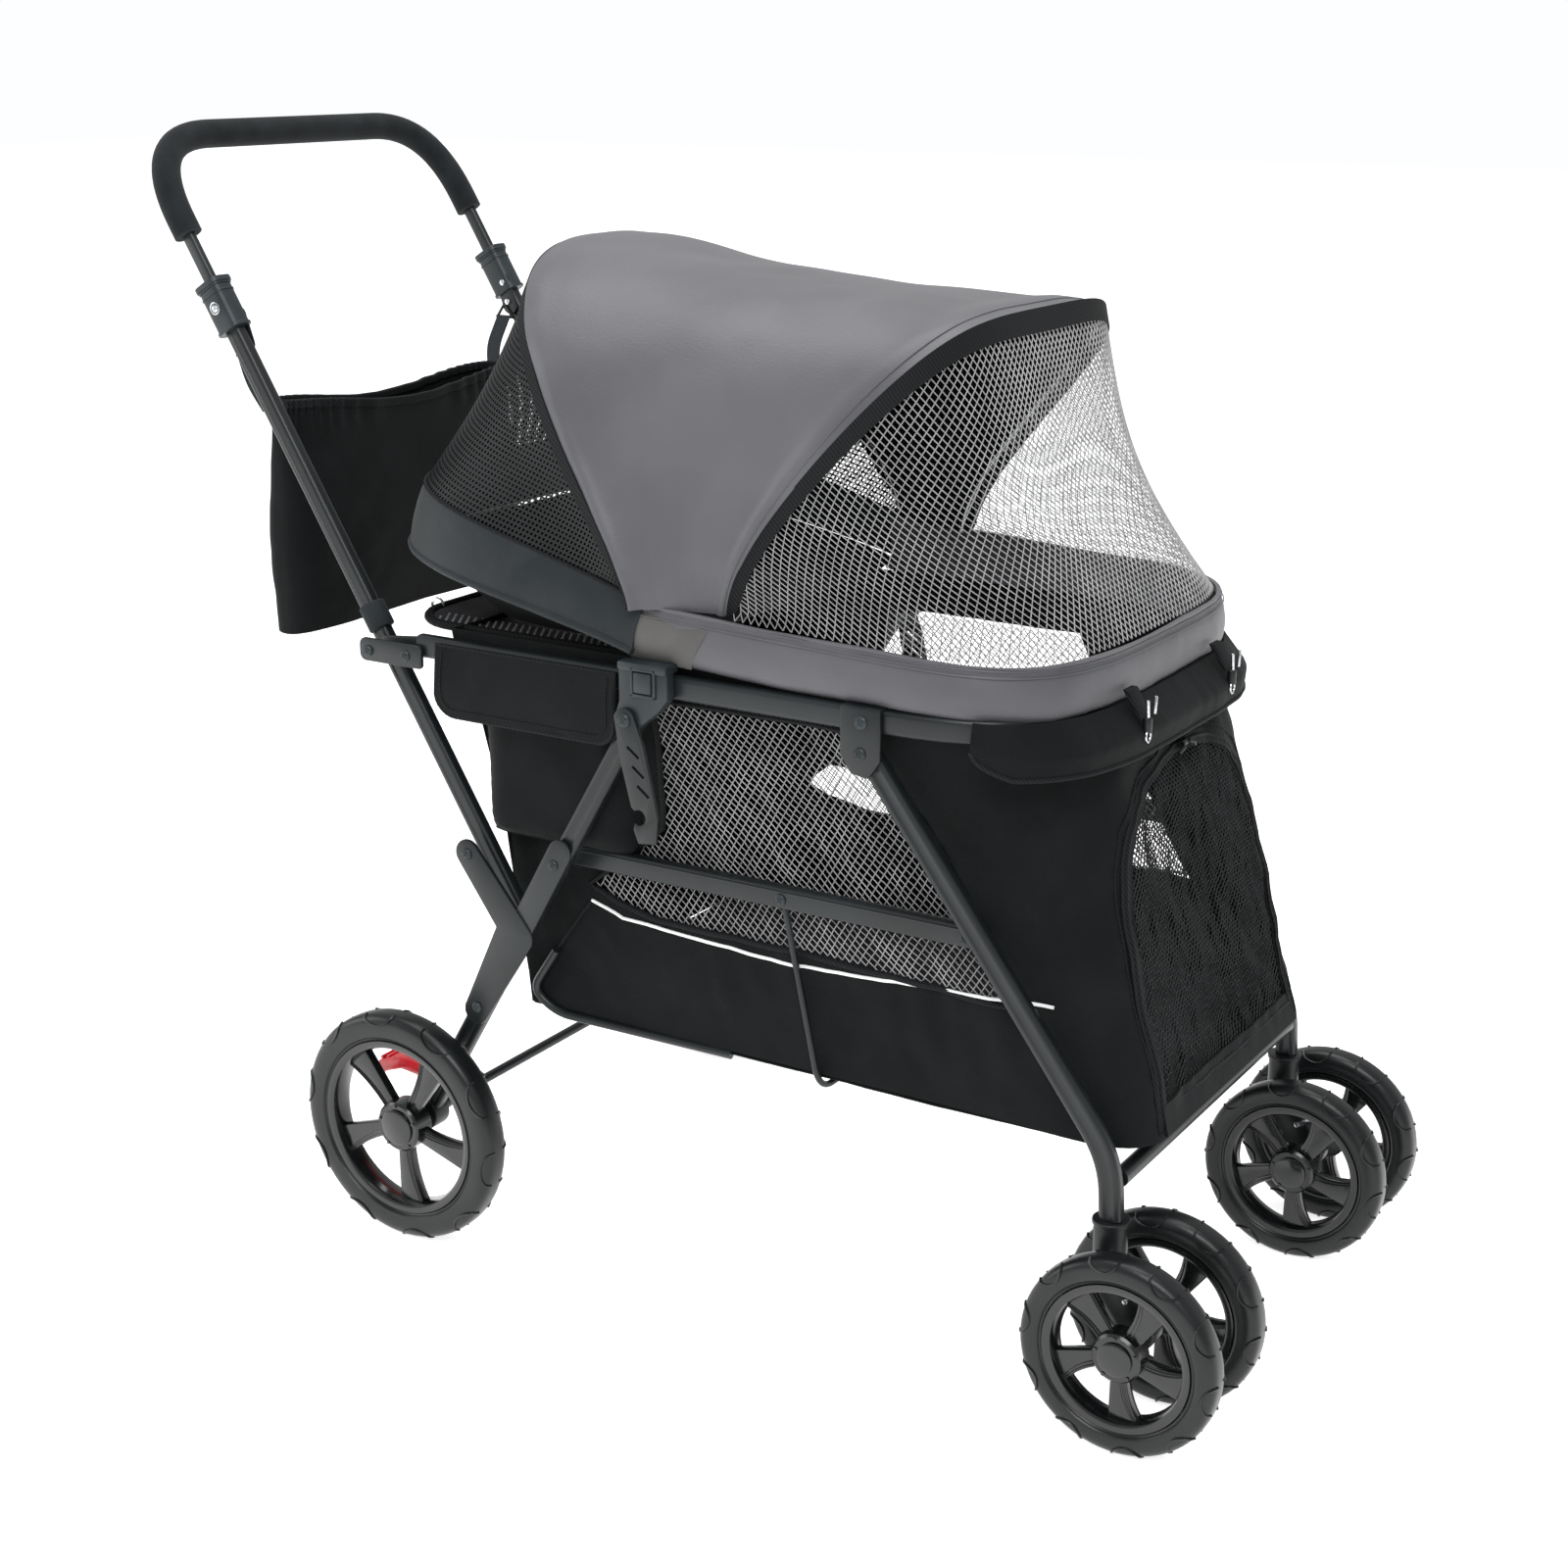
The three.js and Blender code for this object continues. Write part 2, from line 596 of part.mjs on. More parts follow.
function buildHood() {
  const first = 0.05;
  for (const [name, bow] of Object.entries(BOWS)) {
    if (name === "rear_hoop") continue;
    add(name, sweep(polygon(BOW_WIRE, 6), new BowCurve(bow, first), 36), "steel");
  }
  const hoop = BOWS.rear_hoop;
  const turnAt = (u) => 0.12 + u * (Math.PI - 0.24);
  const band = skin((u, w) => {
    const point = bowPoint(hoop, turnAt(u), 1).add(v(0, 0, -38 * (1 - w)));
    const out = v(point.x - HOOD_PIVOT.x - 10, point.y, 0).normalize();
    return { point, out };
  }, 30, 1, 4);
  add("rear_hoop", band, "slate");

  const outer = new THREE.Shape();
  const sides = 24;
  const trace = (shape, inset, backwards) => {
    for (let i = 0; i <= sides; i++) {
      const turn = (Math.PI * (backwards ? sides - i : i)) / sides;
      const p = rimPoint(turn, 0, inset);
      shape.lineTo(p.x, p.y);
    }
  };
  outer.moveTo(RIM.rear, -RIM.half);
  trace(outer, 0, false);
  outer.lineTo(RIM.rear, RIM.half);
  outer.lineTo(RIM.rear, RIM.half - RIM.thick);
  trace(outer, RIM.thick, true);
  outer.lineTo(RIM.rear, -RIM.half + RIM.thick);
  outer.closePath();
  const ring = new THREE.ExtrudeGeometry(outer, { depth: RIM.top - RIM.bottom, bevelEnabled: false });
  ring.translate(0, 0, RIM.bottom);
  add("hood_rim", ring, "grey_fabric");

  const edge = (name, grow) => (u) => bowPoint(BOWS[name], turnAt(u), grow);
  const rimEdge = (u) => rimPoint(turnAt(u), RIM.top + 1, 1);
  add("hood_panel", stretched(edge("rear_bow", 5), edge("front_bow", 5), 3), "grey_fabric");
  add("hood_net", stretched(edge("front_bow", 5), rimEdge, 3), "net");
  add("hood_mesh", stretched(edge("rear_hoop", 5), edge("rear_bow", 5), 3), "black_fabric");
}

buildTopFrame();
buildLatches();
buildRearLegs();
buildElbows();
buildFrontLegs();
buildSideBars();
buildHandle();
buildWheels();
buildCabin();
buildHood();

// The origin is under the middle of the whole length, from the grip to the front wheels.
const frontReach = FRONT_WHEEL.x + FRONT_WHEEL.radius;
const rearReach = along(HANDLE_PIVOT, GRIP.bar)[0] - GRIP.radius;
model.position.x = -(frontReach + rearReach) / 2;

const stroller = new THREE.Group();
stroller.add(model);
export default stroller;
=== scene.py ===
import math

import bpy
from mathutils import Matrix, Vector, noise
from mathutils.geometry import delaunay_2d_cdt


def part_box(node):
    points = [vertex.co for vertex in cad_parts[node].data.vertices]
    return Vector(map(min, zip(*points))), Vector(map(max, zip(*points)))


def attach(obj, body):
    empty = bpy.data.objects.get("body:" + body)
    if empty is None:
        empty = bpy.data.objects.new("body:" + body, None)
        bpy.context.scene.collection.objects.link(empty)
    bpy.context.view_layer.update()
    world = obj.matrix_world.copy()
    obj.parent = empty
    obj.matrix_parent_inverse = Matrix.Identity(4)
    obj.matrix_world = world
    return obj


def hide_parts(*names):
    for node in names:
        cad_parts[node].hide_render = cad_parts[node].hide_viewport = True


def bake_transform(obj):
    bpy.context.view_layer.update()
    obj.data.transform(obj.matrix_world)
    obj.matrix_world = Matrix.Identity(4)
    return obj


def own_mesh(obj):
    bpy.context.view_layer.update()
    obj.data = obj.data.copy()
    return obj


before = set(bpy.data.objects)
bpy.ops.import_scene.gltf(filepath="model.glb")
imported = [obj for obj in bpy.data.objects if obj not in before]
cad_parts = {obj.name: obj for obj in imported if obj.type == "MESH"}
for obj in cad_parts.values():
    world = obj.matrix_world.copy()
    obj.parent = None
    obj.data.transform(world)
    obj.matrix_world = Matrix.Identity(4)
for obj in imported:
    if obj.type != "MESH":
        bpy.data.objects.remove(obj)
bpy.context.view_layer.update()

# ---------- driving dimensions, in millimetres from the rear axle ----------
MM = 0.001
low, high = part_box("rear_right_tyre")
AXLE_X = (low[0] + high[0]) / 2

REAR_WHEEL = {"radius": 115, "width": 30, "rim": 88, "hub": 25}
FRONT_WHEEL = {"radius": 88, "width": 28, "rim": 66, "hub": 22}
REAR_HUB = (0, 261, 115)
FRONT_HUB_X = 747
CASTER = (714, 200, 182)
CASTER_HALF = 46
FRAME_Y = 226
HANDLE_Y = 207.5
BAR_Y = 197.5
PLATE_Y = 236
LATCH = (262, 556)
FRONT_PIVOT = (490, 558)
HANDLE_PIVOT = (-37, 576)
HANDLE_DIR = Vector((-0.5205, 0, 0.8539))
HOOD_PIVOT = (300, 648)
RAIL_Z = 586
FLOOR_Z = 240
CABIN_TOP = 603
COLLAR_Z = 551
FULL_TURN = 2 * math.pi


def spot(x, y, z):
    """A point laid out in millimetres from the rear axle, in the frame's metres."""
    return Vector((AXLE_X + x * MM, y * MM, z * MM))


def on_handle(distance, y=-HANDLE_Y):
    """A point of the handle tube's line, so many millimetres above its pivot."""
    x, z = HANDLE_PIVOT
    return spot(x + HANDLE_DIR.x * distance, y, z + HANDLE_DIR.z * distance)


# ---------- camera, light and floor ----------
def make_camera():
    bpy.ops.object.camera_add(
        location=spot(1436, -1875, 1120),
        rotation=(math.radians(90 - 17.258), 0, math.radians(31.892)),
    )
    camera = bpy.context.object
    camera.data.lens = 55.3
    bpy.context.scene.camera = camera


def make_light(name, place, aim, size, power):
    bpy.ops.object.light_add(type="AREA", location=place)
    light = bpy.context.object
    light.name = name
    light.rotation_euler = (Vector(aim) - Vector(place)).to_track_quat("-Z", "Y").to_euler()
    light.data.size = size
    light.data.energy = power


def make_studio():
    make_camera()
    make_light("key", (1.2, -2.4, 3.2), (0, 0, 0.4), 2.0, 85)
    make_light("top", (-0.4, 0.3, 3.4), (0, 0, 0.5), 2.4, 75)
    make_light("side", (-3.2, -1.6, 1.4), (0, 0, 0.5), 1.8, 30)
    bpy.context.scene.view_settings.view_transform = "Standard"
    world = bpy.data.worlds.new("studio")
    world.use_nodes = True
    tree = world.node_tree
    seen = add_node(tree, "ShaderNodeLightPath").outputs["Is Camera Ray"]
    strength = add_node(tree, "ShaderNodeMapRange", {"Value": seen, "To Min": 0.62, "To Max": 1.0})
    tree.links.new(strength.outputs["Result"], tree.nodes["Background"].inputs["Strength"])
    tree.nodes["Background"].inputs["Color"].default_value = (0.985, 0.99, 1, 1)
    bpy.context.scene.world = world
    bpy.ops.mesh.primitive_plane_add(size=40)
    floor = bpy.context.object
    floor.name = "studio_floor"
    made, tree, shader = new_material("pale_floor", "#F6F6F5", 0.8)
    shader.inputs["Emission Color"].default_value = (1, 1, 1, 1)
    shader.inputs["Emission Strength"].default_value = 0.75
    floor.data.materials.append(made)


# ---------- materials ----------
def linear(code):
    """An sRGB hex colour as linear red, green, blue and alpha."""
    parts = [int(code[i : i + 2], 16) / 255 for i in (1, 3, 5)]
    return [c / 12.92 if c <= 0.04045 else ((c + 0.055) / 1.055) ** 2.4 for c in parts] + [1]


def add_node(tree, kind, inputs=None, to=None, **settings):
    """Adds a node with its settings and links; to is the socket that its first output feeds."""
    made = tree.nodes.new(kind)
    for key, value in settings.items():
        setattr(made, key, value)
    for key, value in (inputs or {}).items():
        if isinstance(value, bpy.types.NodeSocket):
            tree.links.new(value, made.inputs[key])
        else:
            made.inputs[key].default_value = value
    if to is not None:
        tree.links.new(made.outputs[0], to)
    return made


def new_material(name, colour, roughness, sockets=None):
    made = bpy.data.materials.new(name)
    made.use_nodes = True
    tree = made.node_tree
    shader = tree.nodes["Principled BSDF"]
    shader.inputs["Base Color"].default_value = linear(colour)
    shader.inputs["Roughness"].default_value = roughness
    for key, value in (sockets or {}).items():
        shader.inputs[key].default_value = value
    return made, tree, shader


def tone(tree, shader, source, dark, light, low=0.35, high=0.65):
    """Runs the base colour between two tones, by a pattern."""
    ramp = add_node(tree, "ShaderNodeValToRGB", {"Fac": source}, shader.inputs["Base Color"])
    ramp.color_ramp.elements[0].position = low
    ramp.color_ramp.elements[0].color = linear(dark)
    ramp.color_ramp.elements[1].position = high
    ramp.color_ramp.elements[1].color = linear(light)


def size(mm):
    """The texture scale whose grain is so many millimetres across."""
    return 1000 / mm


def wave_size(mm):
    """The wave texture's scale for bands so many millimetres apart: at scale 1 they are 0.314 apart."""
    return size(mm) * 0.314


def powder_coated_steel():
    # Baked powder over thin steel tube: an even satin skin with a faint orange peel.
    gloss = {"Specular IOR Level": 0.3, "Coat Weight": 0.12, "Coat Roughness": 0.25}
    made, tree, shader = new_material("powder_coated_steel", "#14181A", 0.36, gloss)
    place = add_node(tree, "ShaderNodeTexCoord").outputs["Object"]
    peel = add_node(tree, "ShaderNodeTexNoise", {"Vector": place, "Scale": size(1.4), "Detail": 2})
    bump = {"Strength": 0.18, "Distance": 0.0002, "Height": peel.outputs["Fac"]}
    add_node(tree, "ShaderNodeBump", bump, shader.inputs["Normal"])
    broad = add_node(tree, "ShaderNodeTexNoise", {"Vector": place, "Scale": size(90), "Detail": 3})
    tone(tree, shader, broad.outputs["Fac"], "#111516", "#191E20")
    return made


def closed_cell_foam():
    # Nitrile foam sleeve: dead matt, with the fine pits of cut cells.
    dull = {"Sheen Weight": 0.05, "Specular IOR Level": 0.15}
    made, tree, shader = new_material("closed_cell_foam", "#16191B", 0.92, dull)
    place = add_node(tree, "ShaderNodeTexCoord").outputs["Object"]
    cells = add_node(tree, "ShaderNodeTexVoronoi", {"Vector": place, "Scale": size(1.3)})
    bump = {"Strength": 0.5, "Distance": 0.0003, "Height": cells.outputs["Distance"]}
    add_node(tree, "ShaderNodeBump", bump, shader.inputs["Normal"])
    broad = add_node(tree, "ShaderNodeTexNoise", {"Vector": place, "Scale": size(25), "Detail": 4})
    tone(tree, shader, broad.outputs["Fac"], "#131618", "#1C2022")
    return made


def moulded_plastic(name, dark, light, roughness):
    # Injection-moulded plastic: fine spark-eroded mould grain and a slightly uneven tone.
    made, tree, shader = new_material(name, dark, roughness, {"Specular IOR Level": 0.32})
    place = add_node(tree, "ShaderNodeTexCoord").outputs["Object"]
    grain = add_node(tree, "ShaderNodeTexNoise", {"Vector": place, "Scale": size(0.9), "Detail": 3})
    bump = {"Strength": 0.25, "Distance": 0.0002, "Height": grain.outputs["Fac"]}
    add_node(tree, "ShaderNodeBump", bump, shader.inputs["Normal"])
    broad = add_node(tree, "ShaderNodeTexNoise", {"Vector": place, "Scale": size(30), "Detail": 3})
    tone(tree, shader, broad.outputs["Fac"], dark, light)
    return made


def gloss_moulding():
    # Polished-mould ABS of the wheel rims: deep black with clean reflections.
    gloss = {"Specular IOR Level": 0.4, "Coat Weight": 0.3, "Coat Roughness": 0.12}
    made, tree, shader = new_material("gloss_moulding", "#060808", 0.22, gloss)
    place = add_node(tree, "ShaderNodeTexCoord").outputs["Object"]
    ripple = add_node(tree, "ShaderNodeTexNoise", {"Vector": place, "Scale": size(9), "Detail": 2})
    bump = {"Strength": 0.15, "Distance": 0.0004, "Height": ripple.outputs["Fac"]}
    add_node(tree, "ShaderNodeBump", bump, shader.inputs["Normal"])
    tone(tree, shader, ripple.outputs["Fac"], "#070909", "#0C0E0F")
    return made


def tyre_rubber():
    # Foamed EVA tyre: a satin skin with small pores and a slightly uneven tone.
    made, tree, shader = new_material("tyre_rubber", "#0A0D0E", 0.33, {"Specular IOR Level": 0.35})
    place = add_node(tree, "ShaderNodeTexCoord").outputs["Object"]
    pores = add_node(tree, "ShaderNodeTexNoise", {"Vector": place, "Scale": size(1.6), "Detail": 4})
    bump = {"Strength": 0.3, "Distance": 0.0003, "Height": pores.outputs["Fac"]}
    add_node(tree, "ShaderNodeBump", bump, shader.inputs["Normal"])
    broad = add_node(tree, "ShaderNodeTexNoise", {"Vector": place, "Scale": size(40), "Detail": 5})
    tone(tree, shader, broad.outputs["Fac"], "#090B0C", "#111415")
    return made


def bright_steel():
    # Nickel-plated steel: rivets, hooks and rods, with fine drawing marks.
    made, tree, shader = new_material("bright_steel", "#B9BCBE", 0.24, {"Metallic": 1})
    place = add_node(tree, "ShaderNodeTexCoord").outputs["Object"]
    marks = add_node(tree, "ShaderNodeTexNoise", {"Vector": place, "Scale": size(2.5), "Detail": 4})
    bump = {"Strength": 0.1, "Distance": 0.0001, "Height": marks.outputs["Fac"]}
    add_node(tree, "ShaderNodeBump", bump, shader.inputs["Normal"])
    tone(tree, shader, marks.outputs["Fac"], "#A4A8AA", "#C8CBCD")
    return made


def brake_red():
    # Glossy moulded ABS in signal red.
    made, tree, shader = new_material("brake_red", "#C8101F", 0.3, {"Coat Weight": 0.4})
    place = add_node(tree, "ShaderNodeTexCoord").outputs["Object"]
    scuff = add_node(tree, "ShaderNodeTexNoise", {"Vector": place, "Scale": size(12), "Detail": 6})
    tone(tree, shader, scuff.outputs["Fac"], "#B60D1B", "#D81424")
    bump = {"Strength": 0.15, "Distance": 0.0003, "Height": scuff.outputs["Fac"]}
    add_node(tree, "ShaderNodeBump", bump, shader.inputs["Normal"])
    return made


def woven_cloth(name, dark, light, pitch, roughness, sheen):
    # Plain-woven, coated polyester. The real thread is 0.4 mm; it is drawn coarser so that it shows.
    lustre = {"Specular IOR Level": 0.12, "Sheen Weight": sheen}
    made, tree, shader = new_material(name, dark, roughness, lustre)
    place = add_node(tree, "ShaderNodeTexCoord").outputs["Object"]
    weave = {"Vector": place, "Scale": wave_size(pitch), "Distortion": 0.4}
    warp = add_node(tree, "ShaderNodeTexWave", weave, bands_direction="Z")
    weft = add_node(tree, "ShaderNodeTexWave", weave, bands_direction="DIAGONAL")
    crossed = {0: warp.outputs["Fac"], 1: weft.outputs["Fac"]}
    threads = add_node(tree, "ShaderNodeMath", crossed, operation="MULTIPLY")
    slack = {"Vector": place, "Scale": size(70), "Detail": 5, "Distortion": 0.6}
    creases = add_node(tree, "ShaderNodeTexNoise", slack)
    bump = {"Strength": 0.35, "Distance": 0.0003, "Height": threads.outputs[0]}
    fine = add_node(tree, "ShaderNodeBump", bump)
    folds = {"Strength": 0.35, "Distance": 0.004, "Height": creases.outputs["Fac"]}
    folds["Normal"] = fine.outputs["Normal"]
    add_node(tree, "ShaderNodeBump", folds, shader.inputs["Normal"])
    tone(tree, shader, creases.outputs["Fac"], dark, light)
    return made


def grained_cloth():
    # Grey polyester with a polyurethane face embossed like leather: small pebbles, soft sheen.
    lustre = {"Specular IOR Level": 0.35, "Sheen Weight": 0.08}
    made, tree, shader = new_material("grained_cloth", "#454549", 0.46, lustre)
    place = add_node(tree, "ShaderNodeTexCoord").outputs["Object"]
    grain = {"Vector": place, "Scale": size(2.1)}
    pebbles = add_node(tree, "ShaderNodeTexVoronoi", grain, feature="SMOOTH_F1")
    creases = add_node(tree, "ShaderNodeTexNoise", {"Vector": place, "Scale": size(120), "Detail": 3})
    bump = {"Strength": 0.45, "Distance": 0.0004, "Height": pebbles.outputs["Distance"]}
    fine = add_node(tree, "ShaderNodeBump", bump)
    folds = {"Strength": 0.25, "Distance": 0.006, "Height": creases.outputs["Fac"]}
    folds["Normal"] = fine.outputs["Normal"]
    add_node(tree, "ShaderNodeBump", folds, shader.inputs["Normal"])
    tone(tree, shader, creases.outputs["Fac"], "#47474B", "#515155")
    return made


def knitted_strand(name, dark, light):
    # Monofilament nylon or polyester yarn of a net: smooth, slightly shiny thread.
    made, tree, shader = new_material(name, dark, 0.5, {"Specular IOR Level": 0.2})
    place = add_node(tree, "ShaderNodeTexCoord").outputs["Object"]
    fuzz = add_node(tree, "ShaderNodeTexNoise", {"Vector": place, "Scale": size(30), "Detail": 3})
    tone(tree, shader, fuzz.outputs["Fac"], dark, light)
    return made


def ribbed_webbing(name, dark, light, pitch):
    # Narrow woven tape: cross ribs at the pitch of its thick weft.
    made, tree, shader = new_material(name, dark, 0.7, {"Specular IOR Level": 0.15})
    place = add_node(tree, "ShaderNodeTexCoord").outputs["Object"]
    weave = {"Vector": place, "Scale": wave_size(pitch)}
    ribs = add_node(tree, "ShaderNodeTexWave", weave, bands_direction="DIAGONAL")
    bump = {"Strength": 0.6, "Distance": 0.0005, "Height": ribs.outputs["Fac"]}
    add_node(tree, "ShaderNodeBump", bump, shader.inputs["Normal"])
    tone(tree, shader, ribs.outputs["Fac"], dark, light, 0.1, 0.9)
    return made


STEEL = powder_coated_steel()
FOAM = closed_cell_foam()
NYLON = moulded_plastic("black_nylon", "#101314", "#171A1C", 0.4)
SLATE = moulded_plastic("slate_polypropylene", "#1B2224", "#242C2F", 0.4)
GLOSS = gloss_moulding()
RUBBER = tyre_rubber()
CHROME = bright_steel()
RED = brake_red()
BLACK = woven_cloth("black_oxford_cloth", "#090B0C", "#0F1112", 1.5, 0.8, 0.03)
BAND = woven_cloth("slate_coated_cloth", "#1D2224", "#25292B", 2.2, 0.5, 0.06)
SHELF = woven_cloth("grey_tray_cloth", "#242428", "#303035", 3.0, 0.6, 0.05)
GREY = grained_cloth()
NET = knitted_strand("pale_nylon_net", "#8B8B8B", "#A0A0A0")
MESH = knitted_strand("black_polyester_mesh", "#0A0C0D", "#121516")
TAPE = ribbed_webbing("black_bound_tape", "#0A0B0C", "#16181A", 2.4)
WEBBING = ribbed_webbing("slate_webbing", "#1B1F21", "#262B2E", 1.8)
PATCH = woven_cloth("warm_grey_cloth", "#4B4A49", "#565553", 2.0, 0.6, 0.05)
PIPING = moulded_plastic("reflective_piping", "#DADCDC", "#F0F1F1", 0.45)


# ---------- modelling ----------
def deselect():
    bpy.ops.object.select_all(action="DESELECT")


def choose(piece):
    deselect()
    piece.select_set(True)
    bpy.context.view_layer.objects.active = piece


def settle(piece, angle=35):
    """Puts a piece's place into its mesh and smooths all but its sharp edges."""
    choose(piece)
    bpy.ops.object.transform_apply(location=True, rotation=True, scale=True)
    bpy.ops.object.shade_smooth_by_angle(angle=math.radians(angle))
    return piece


def modify(piece, kind, **settings):
    choose(piece)
    added = piece.modifiers.new(kind.lower(), kind)
    for key, value in settings.items():
        setattr(added, key, value)
    bpy.ops.object.modifier_apply(modifier=added.name)


def bevel_edges(piece, width, segments, angle=40):
    """Rounds the edges that are sharper than an angle, by so many millimetres."""
    limit = math.radians(angle)
    modify(piece, "BEVEL", width=width * MM, segments=segments, limit_method="ANGLE", angle_limit=limit)


def edit(piece, *steps):
    """Runs edit-mode operators on the whole mesh of a piece."""
    choose(piece)
    bpy.ops.object.mode_set(mode="EDIT")
    bpy.ops.mesh.select_all(action="SELECT")
    for step in steps:
        step()
        bpy.ops.mesh.select_all(action="SELECT")
    bpy.ops.mesh.remove_doubles(threshold=0.00001)
    bpy.ops.mesh.normals_make_consistent(inside=False)
    bpy.ops.object.mode_set(mode="OBJECT")


def plate(name, outline, near, far, bevel=0.8):
    """A flat plate: an outline in x and z, from one distance across the object to another."""
    deselect()
    bpy.ops.mesh.primitive_circle_add(vertices=len(outline), fill_type="NGON")
    piece = bpy.context.object
    piece.name = name
    for corner, (x, z) in zip(piece.data.vertices, outline):
        corner.co = spot(x, near, z)
    across = {"value": (0, (far - near) * MM, 0)}
    edit(piece, lambda: bpy.ops.mesh.extrude_region_move(TRANSFORM_OT_translate=across))
    if bevel:
        bevel_edges(piece, bevel, 2)
    return settle(piece)


def rod(name, start, end, radius, sides=24, bevel=0.0):
    """A round bar from one point to another."""
    deselect()
    run = end - start
    turn = run.to_track_quat("Z", "Y").to_euler()
    bpy.ops.mesh.primitive_cylinder_add(
        vertices=sides, radius=radius * MM, depth=run.length, location=(start + end) / 2, rotation=turn
    )
    piece = bpy.context.object
    piece.name = name
    if bevel:
        bevel_edges(piece, bevel, 3)
    return settle(piece)


def turned(name, section, centre, sides=72):
    """A closed section, as radius and distance along the axle, spun about an axle across the object."""
    deselect()
    bpy.ops.mesh.primitive_circle_add(vertices=len(section), fill_type="NOTHING")
    piece = bpy.context.object
    piece.name = name
    for corner, (radius, along) in zip(piece.data.vertices, section):
        corner.co = centre + Vector((0, along * MM, radius * MM))
    spin = {"steps": sides, "angle": FULL_TURN, "center": centre, "axis": (0, 1, 0)}
    edit(piece, lambda: bpy.ops.mesh.spin(**spin))
    return settle(piece, 30)


def sweep(name, path, section, closed=False, twist="Z_UP"):
    """A section in millimetres carried along a path of points in metres."""
    deselect()
    cross = bpy.data.curves.new(name + "_section", "CURVE")
    edge = cross.splines.new("POLY")
    edge.points.add(len(section) - 1)
    edge.use_cyclic_u = True
    for corner, (x, y) in zip(edge.points, section):
        corner.co = (x * MM, y * MM, 0, 1)
    profile = bpy.data.objects.new(name + "_section", cross)
    bpy.context.collection.objects.link(profile)
    rail = bpy.data.curves.new(name, "CURVE")
    rail.dimensions = "3D"
    rail.twist_mode = twist
    rail.bevel_mode = "OBJECT"
    rail.bevel_object = profile
    rail.use_fill_caps = not closed
    line = rail.splines.new("POLY")
    line.points.add(len(path) - 1)
    line.use_cyclic_u = closed
    for corner, point in zip(line.points, path):
        corner.co = (*point, 1)
    piece = bpy.data.objects.new(name, rail)
    bpy.context.collection.objects.link(piece)
    choose(piece)
    bpy.ops.object.convert(target="MESH")
    piece = bpy.context.object
    bpy.data.objects.remove(profile)
    edit(piece)
    return settle(piece, 40)


def skin(name, shape, columns, rows, thickness):
    """A sheet whose point at u, v from 0 to 1 is given by shape, thickened to both sides."""
    deselect()
    bpy.ops.mesh.primitive_grid_add(x_subdivisions=columns, y_subdivisions=rows, size=2)
    piece = bpy.context.object
    piece.name = name
    for corner in piece.data.vertices:
        corner.co = shape((corner.co.x + 1) / 2, (corner.co.y + 1) / 2)
    modify(piece, "SOLIDIFY", thickness=thickness * MM, offset=0)
    edit(piece)
    return settle(piece, 60)


def joined(name, pieces):
    deselect()
    for piece in pieces:
        piece.select_set(True)
    bpy.context.view_layer.objects.active = pieces[0]
    bpy.ops.object.join()
    pieces[0].name = name
    return pieces[0]


def copied(piece, name, turn):
    """A copy of a piece with its own mesh, moved by a matrix."""
    made = piece.copy()
    made.data = piece.data.copy()
    made.name = name
    made.data.transform(turn)
    if turn.determinant() < 0:
        made.data.flip_normals()
    bpy.context.collection.objects.link(made)
    return made


def placed(piece, body, finish, slot, *nodes):
    """Gives a piece its material and its body, and hides the CAD nodes it stands for. Its slot is not used.

    A body of None leaves the piece without a body, for cloth that spans two bodies.
    """
    piece.data.materials.clear()
    piece.data.materials.append(finish)
    if body:
        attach(piece, body)
    if nodes:
        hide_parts(*nodes)
    return piece


def pair(piece, body, finish, slot, *nodes):
    """Places a right-hand piece and its mirror image on the left."""
    left = copied(piece, piece.name.replace("right", "left"), Matrix.Scale(-1, 4, (0, 1, 0)))
    placed(piece, body, finish, slot, *nodes)
    other = [node.replace("right", "left") for node in nodes]
    placed(left, body.replace("right", "left"), finish, slot, *other)
    return piece, left


def oval(wide, deep, corner, groove=0.0):
    """A flat-oval tube's section, with an optional shallow groove down each broad face."""
    points = []
    for turn, cx, cy in ((0, 1, 1), (90, -1, 1), (180, -1, -1), (270, 1, -1)):
        for step in range(5):
            a = math.radians(turn + step * 22.5)
            x = cx * (deep / 2 - corner) + corner * math.cos(a)
            points.append((x, cy * (wide / 2 - corner) + corner * math.sin(a)))
        if groove and turn in (90, 270):
            x = cx * deep / 2
            reach = 0.16 * wide * cy
            points += [(x, reach * 1.3), (x - cx * groove, reach)]
            points += [(x - cx * groove, -reach), (x, -reach * 1.3)]
    return points


def ring(radius, sides=20):
    turns = [FULL_TURN * i / sides for i in range(sides)]
    return [(radius * math.cos(a), radius * math.sin(a)) for a in turns]


def bent(points, reach, steps=8):
    """A path through points in metres, with each inner corner rounded over a reach in millimetres."""
    path = [points[0]]
    for before, corner, after in zip(points, points[1:], points[2:]):
        start = corner + (before - corner).normalized() * reach * MM
        end = corner + (after - corner).normalized() * reach * MM
        for i in range(steps + 1):
            t = i / steps
            path.append(start * (1 - t) ** 2 + corner * 2 * t * (1 - t) + end * t * t)
    return path + [points[-1]]


def arc(x, z, radius, start, end, steps=10):
    """Points of an arc in x and z, in millimetres and degrees."""
    turns = [math.radians(start + (end - start) * i / steps) for i in range(steps + 1)]
    return [(x + radius * math.cos(a), z + radius * math.sin(a)) for a in turns]


def stadium(a, b, width):
    """The outline of a bar with round ends."""
    turn = math.degrees(math.atan2(b[1] - a[1], b[0] - a[0]))
    return arc(*b, width / 2, turn - 90, turn + 90) + arc(*a, width / 2, turn + 90, turn + 270)


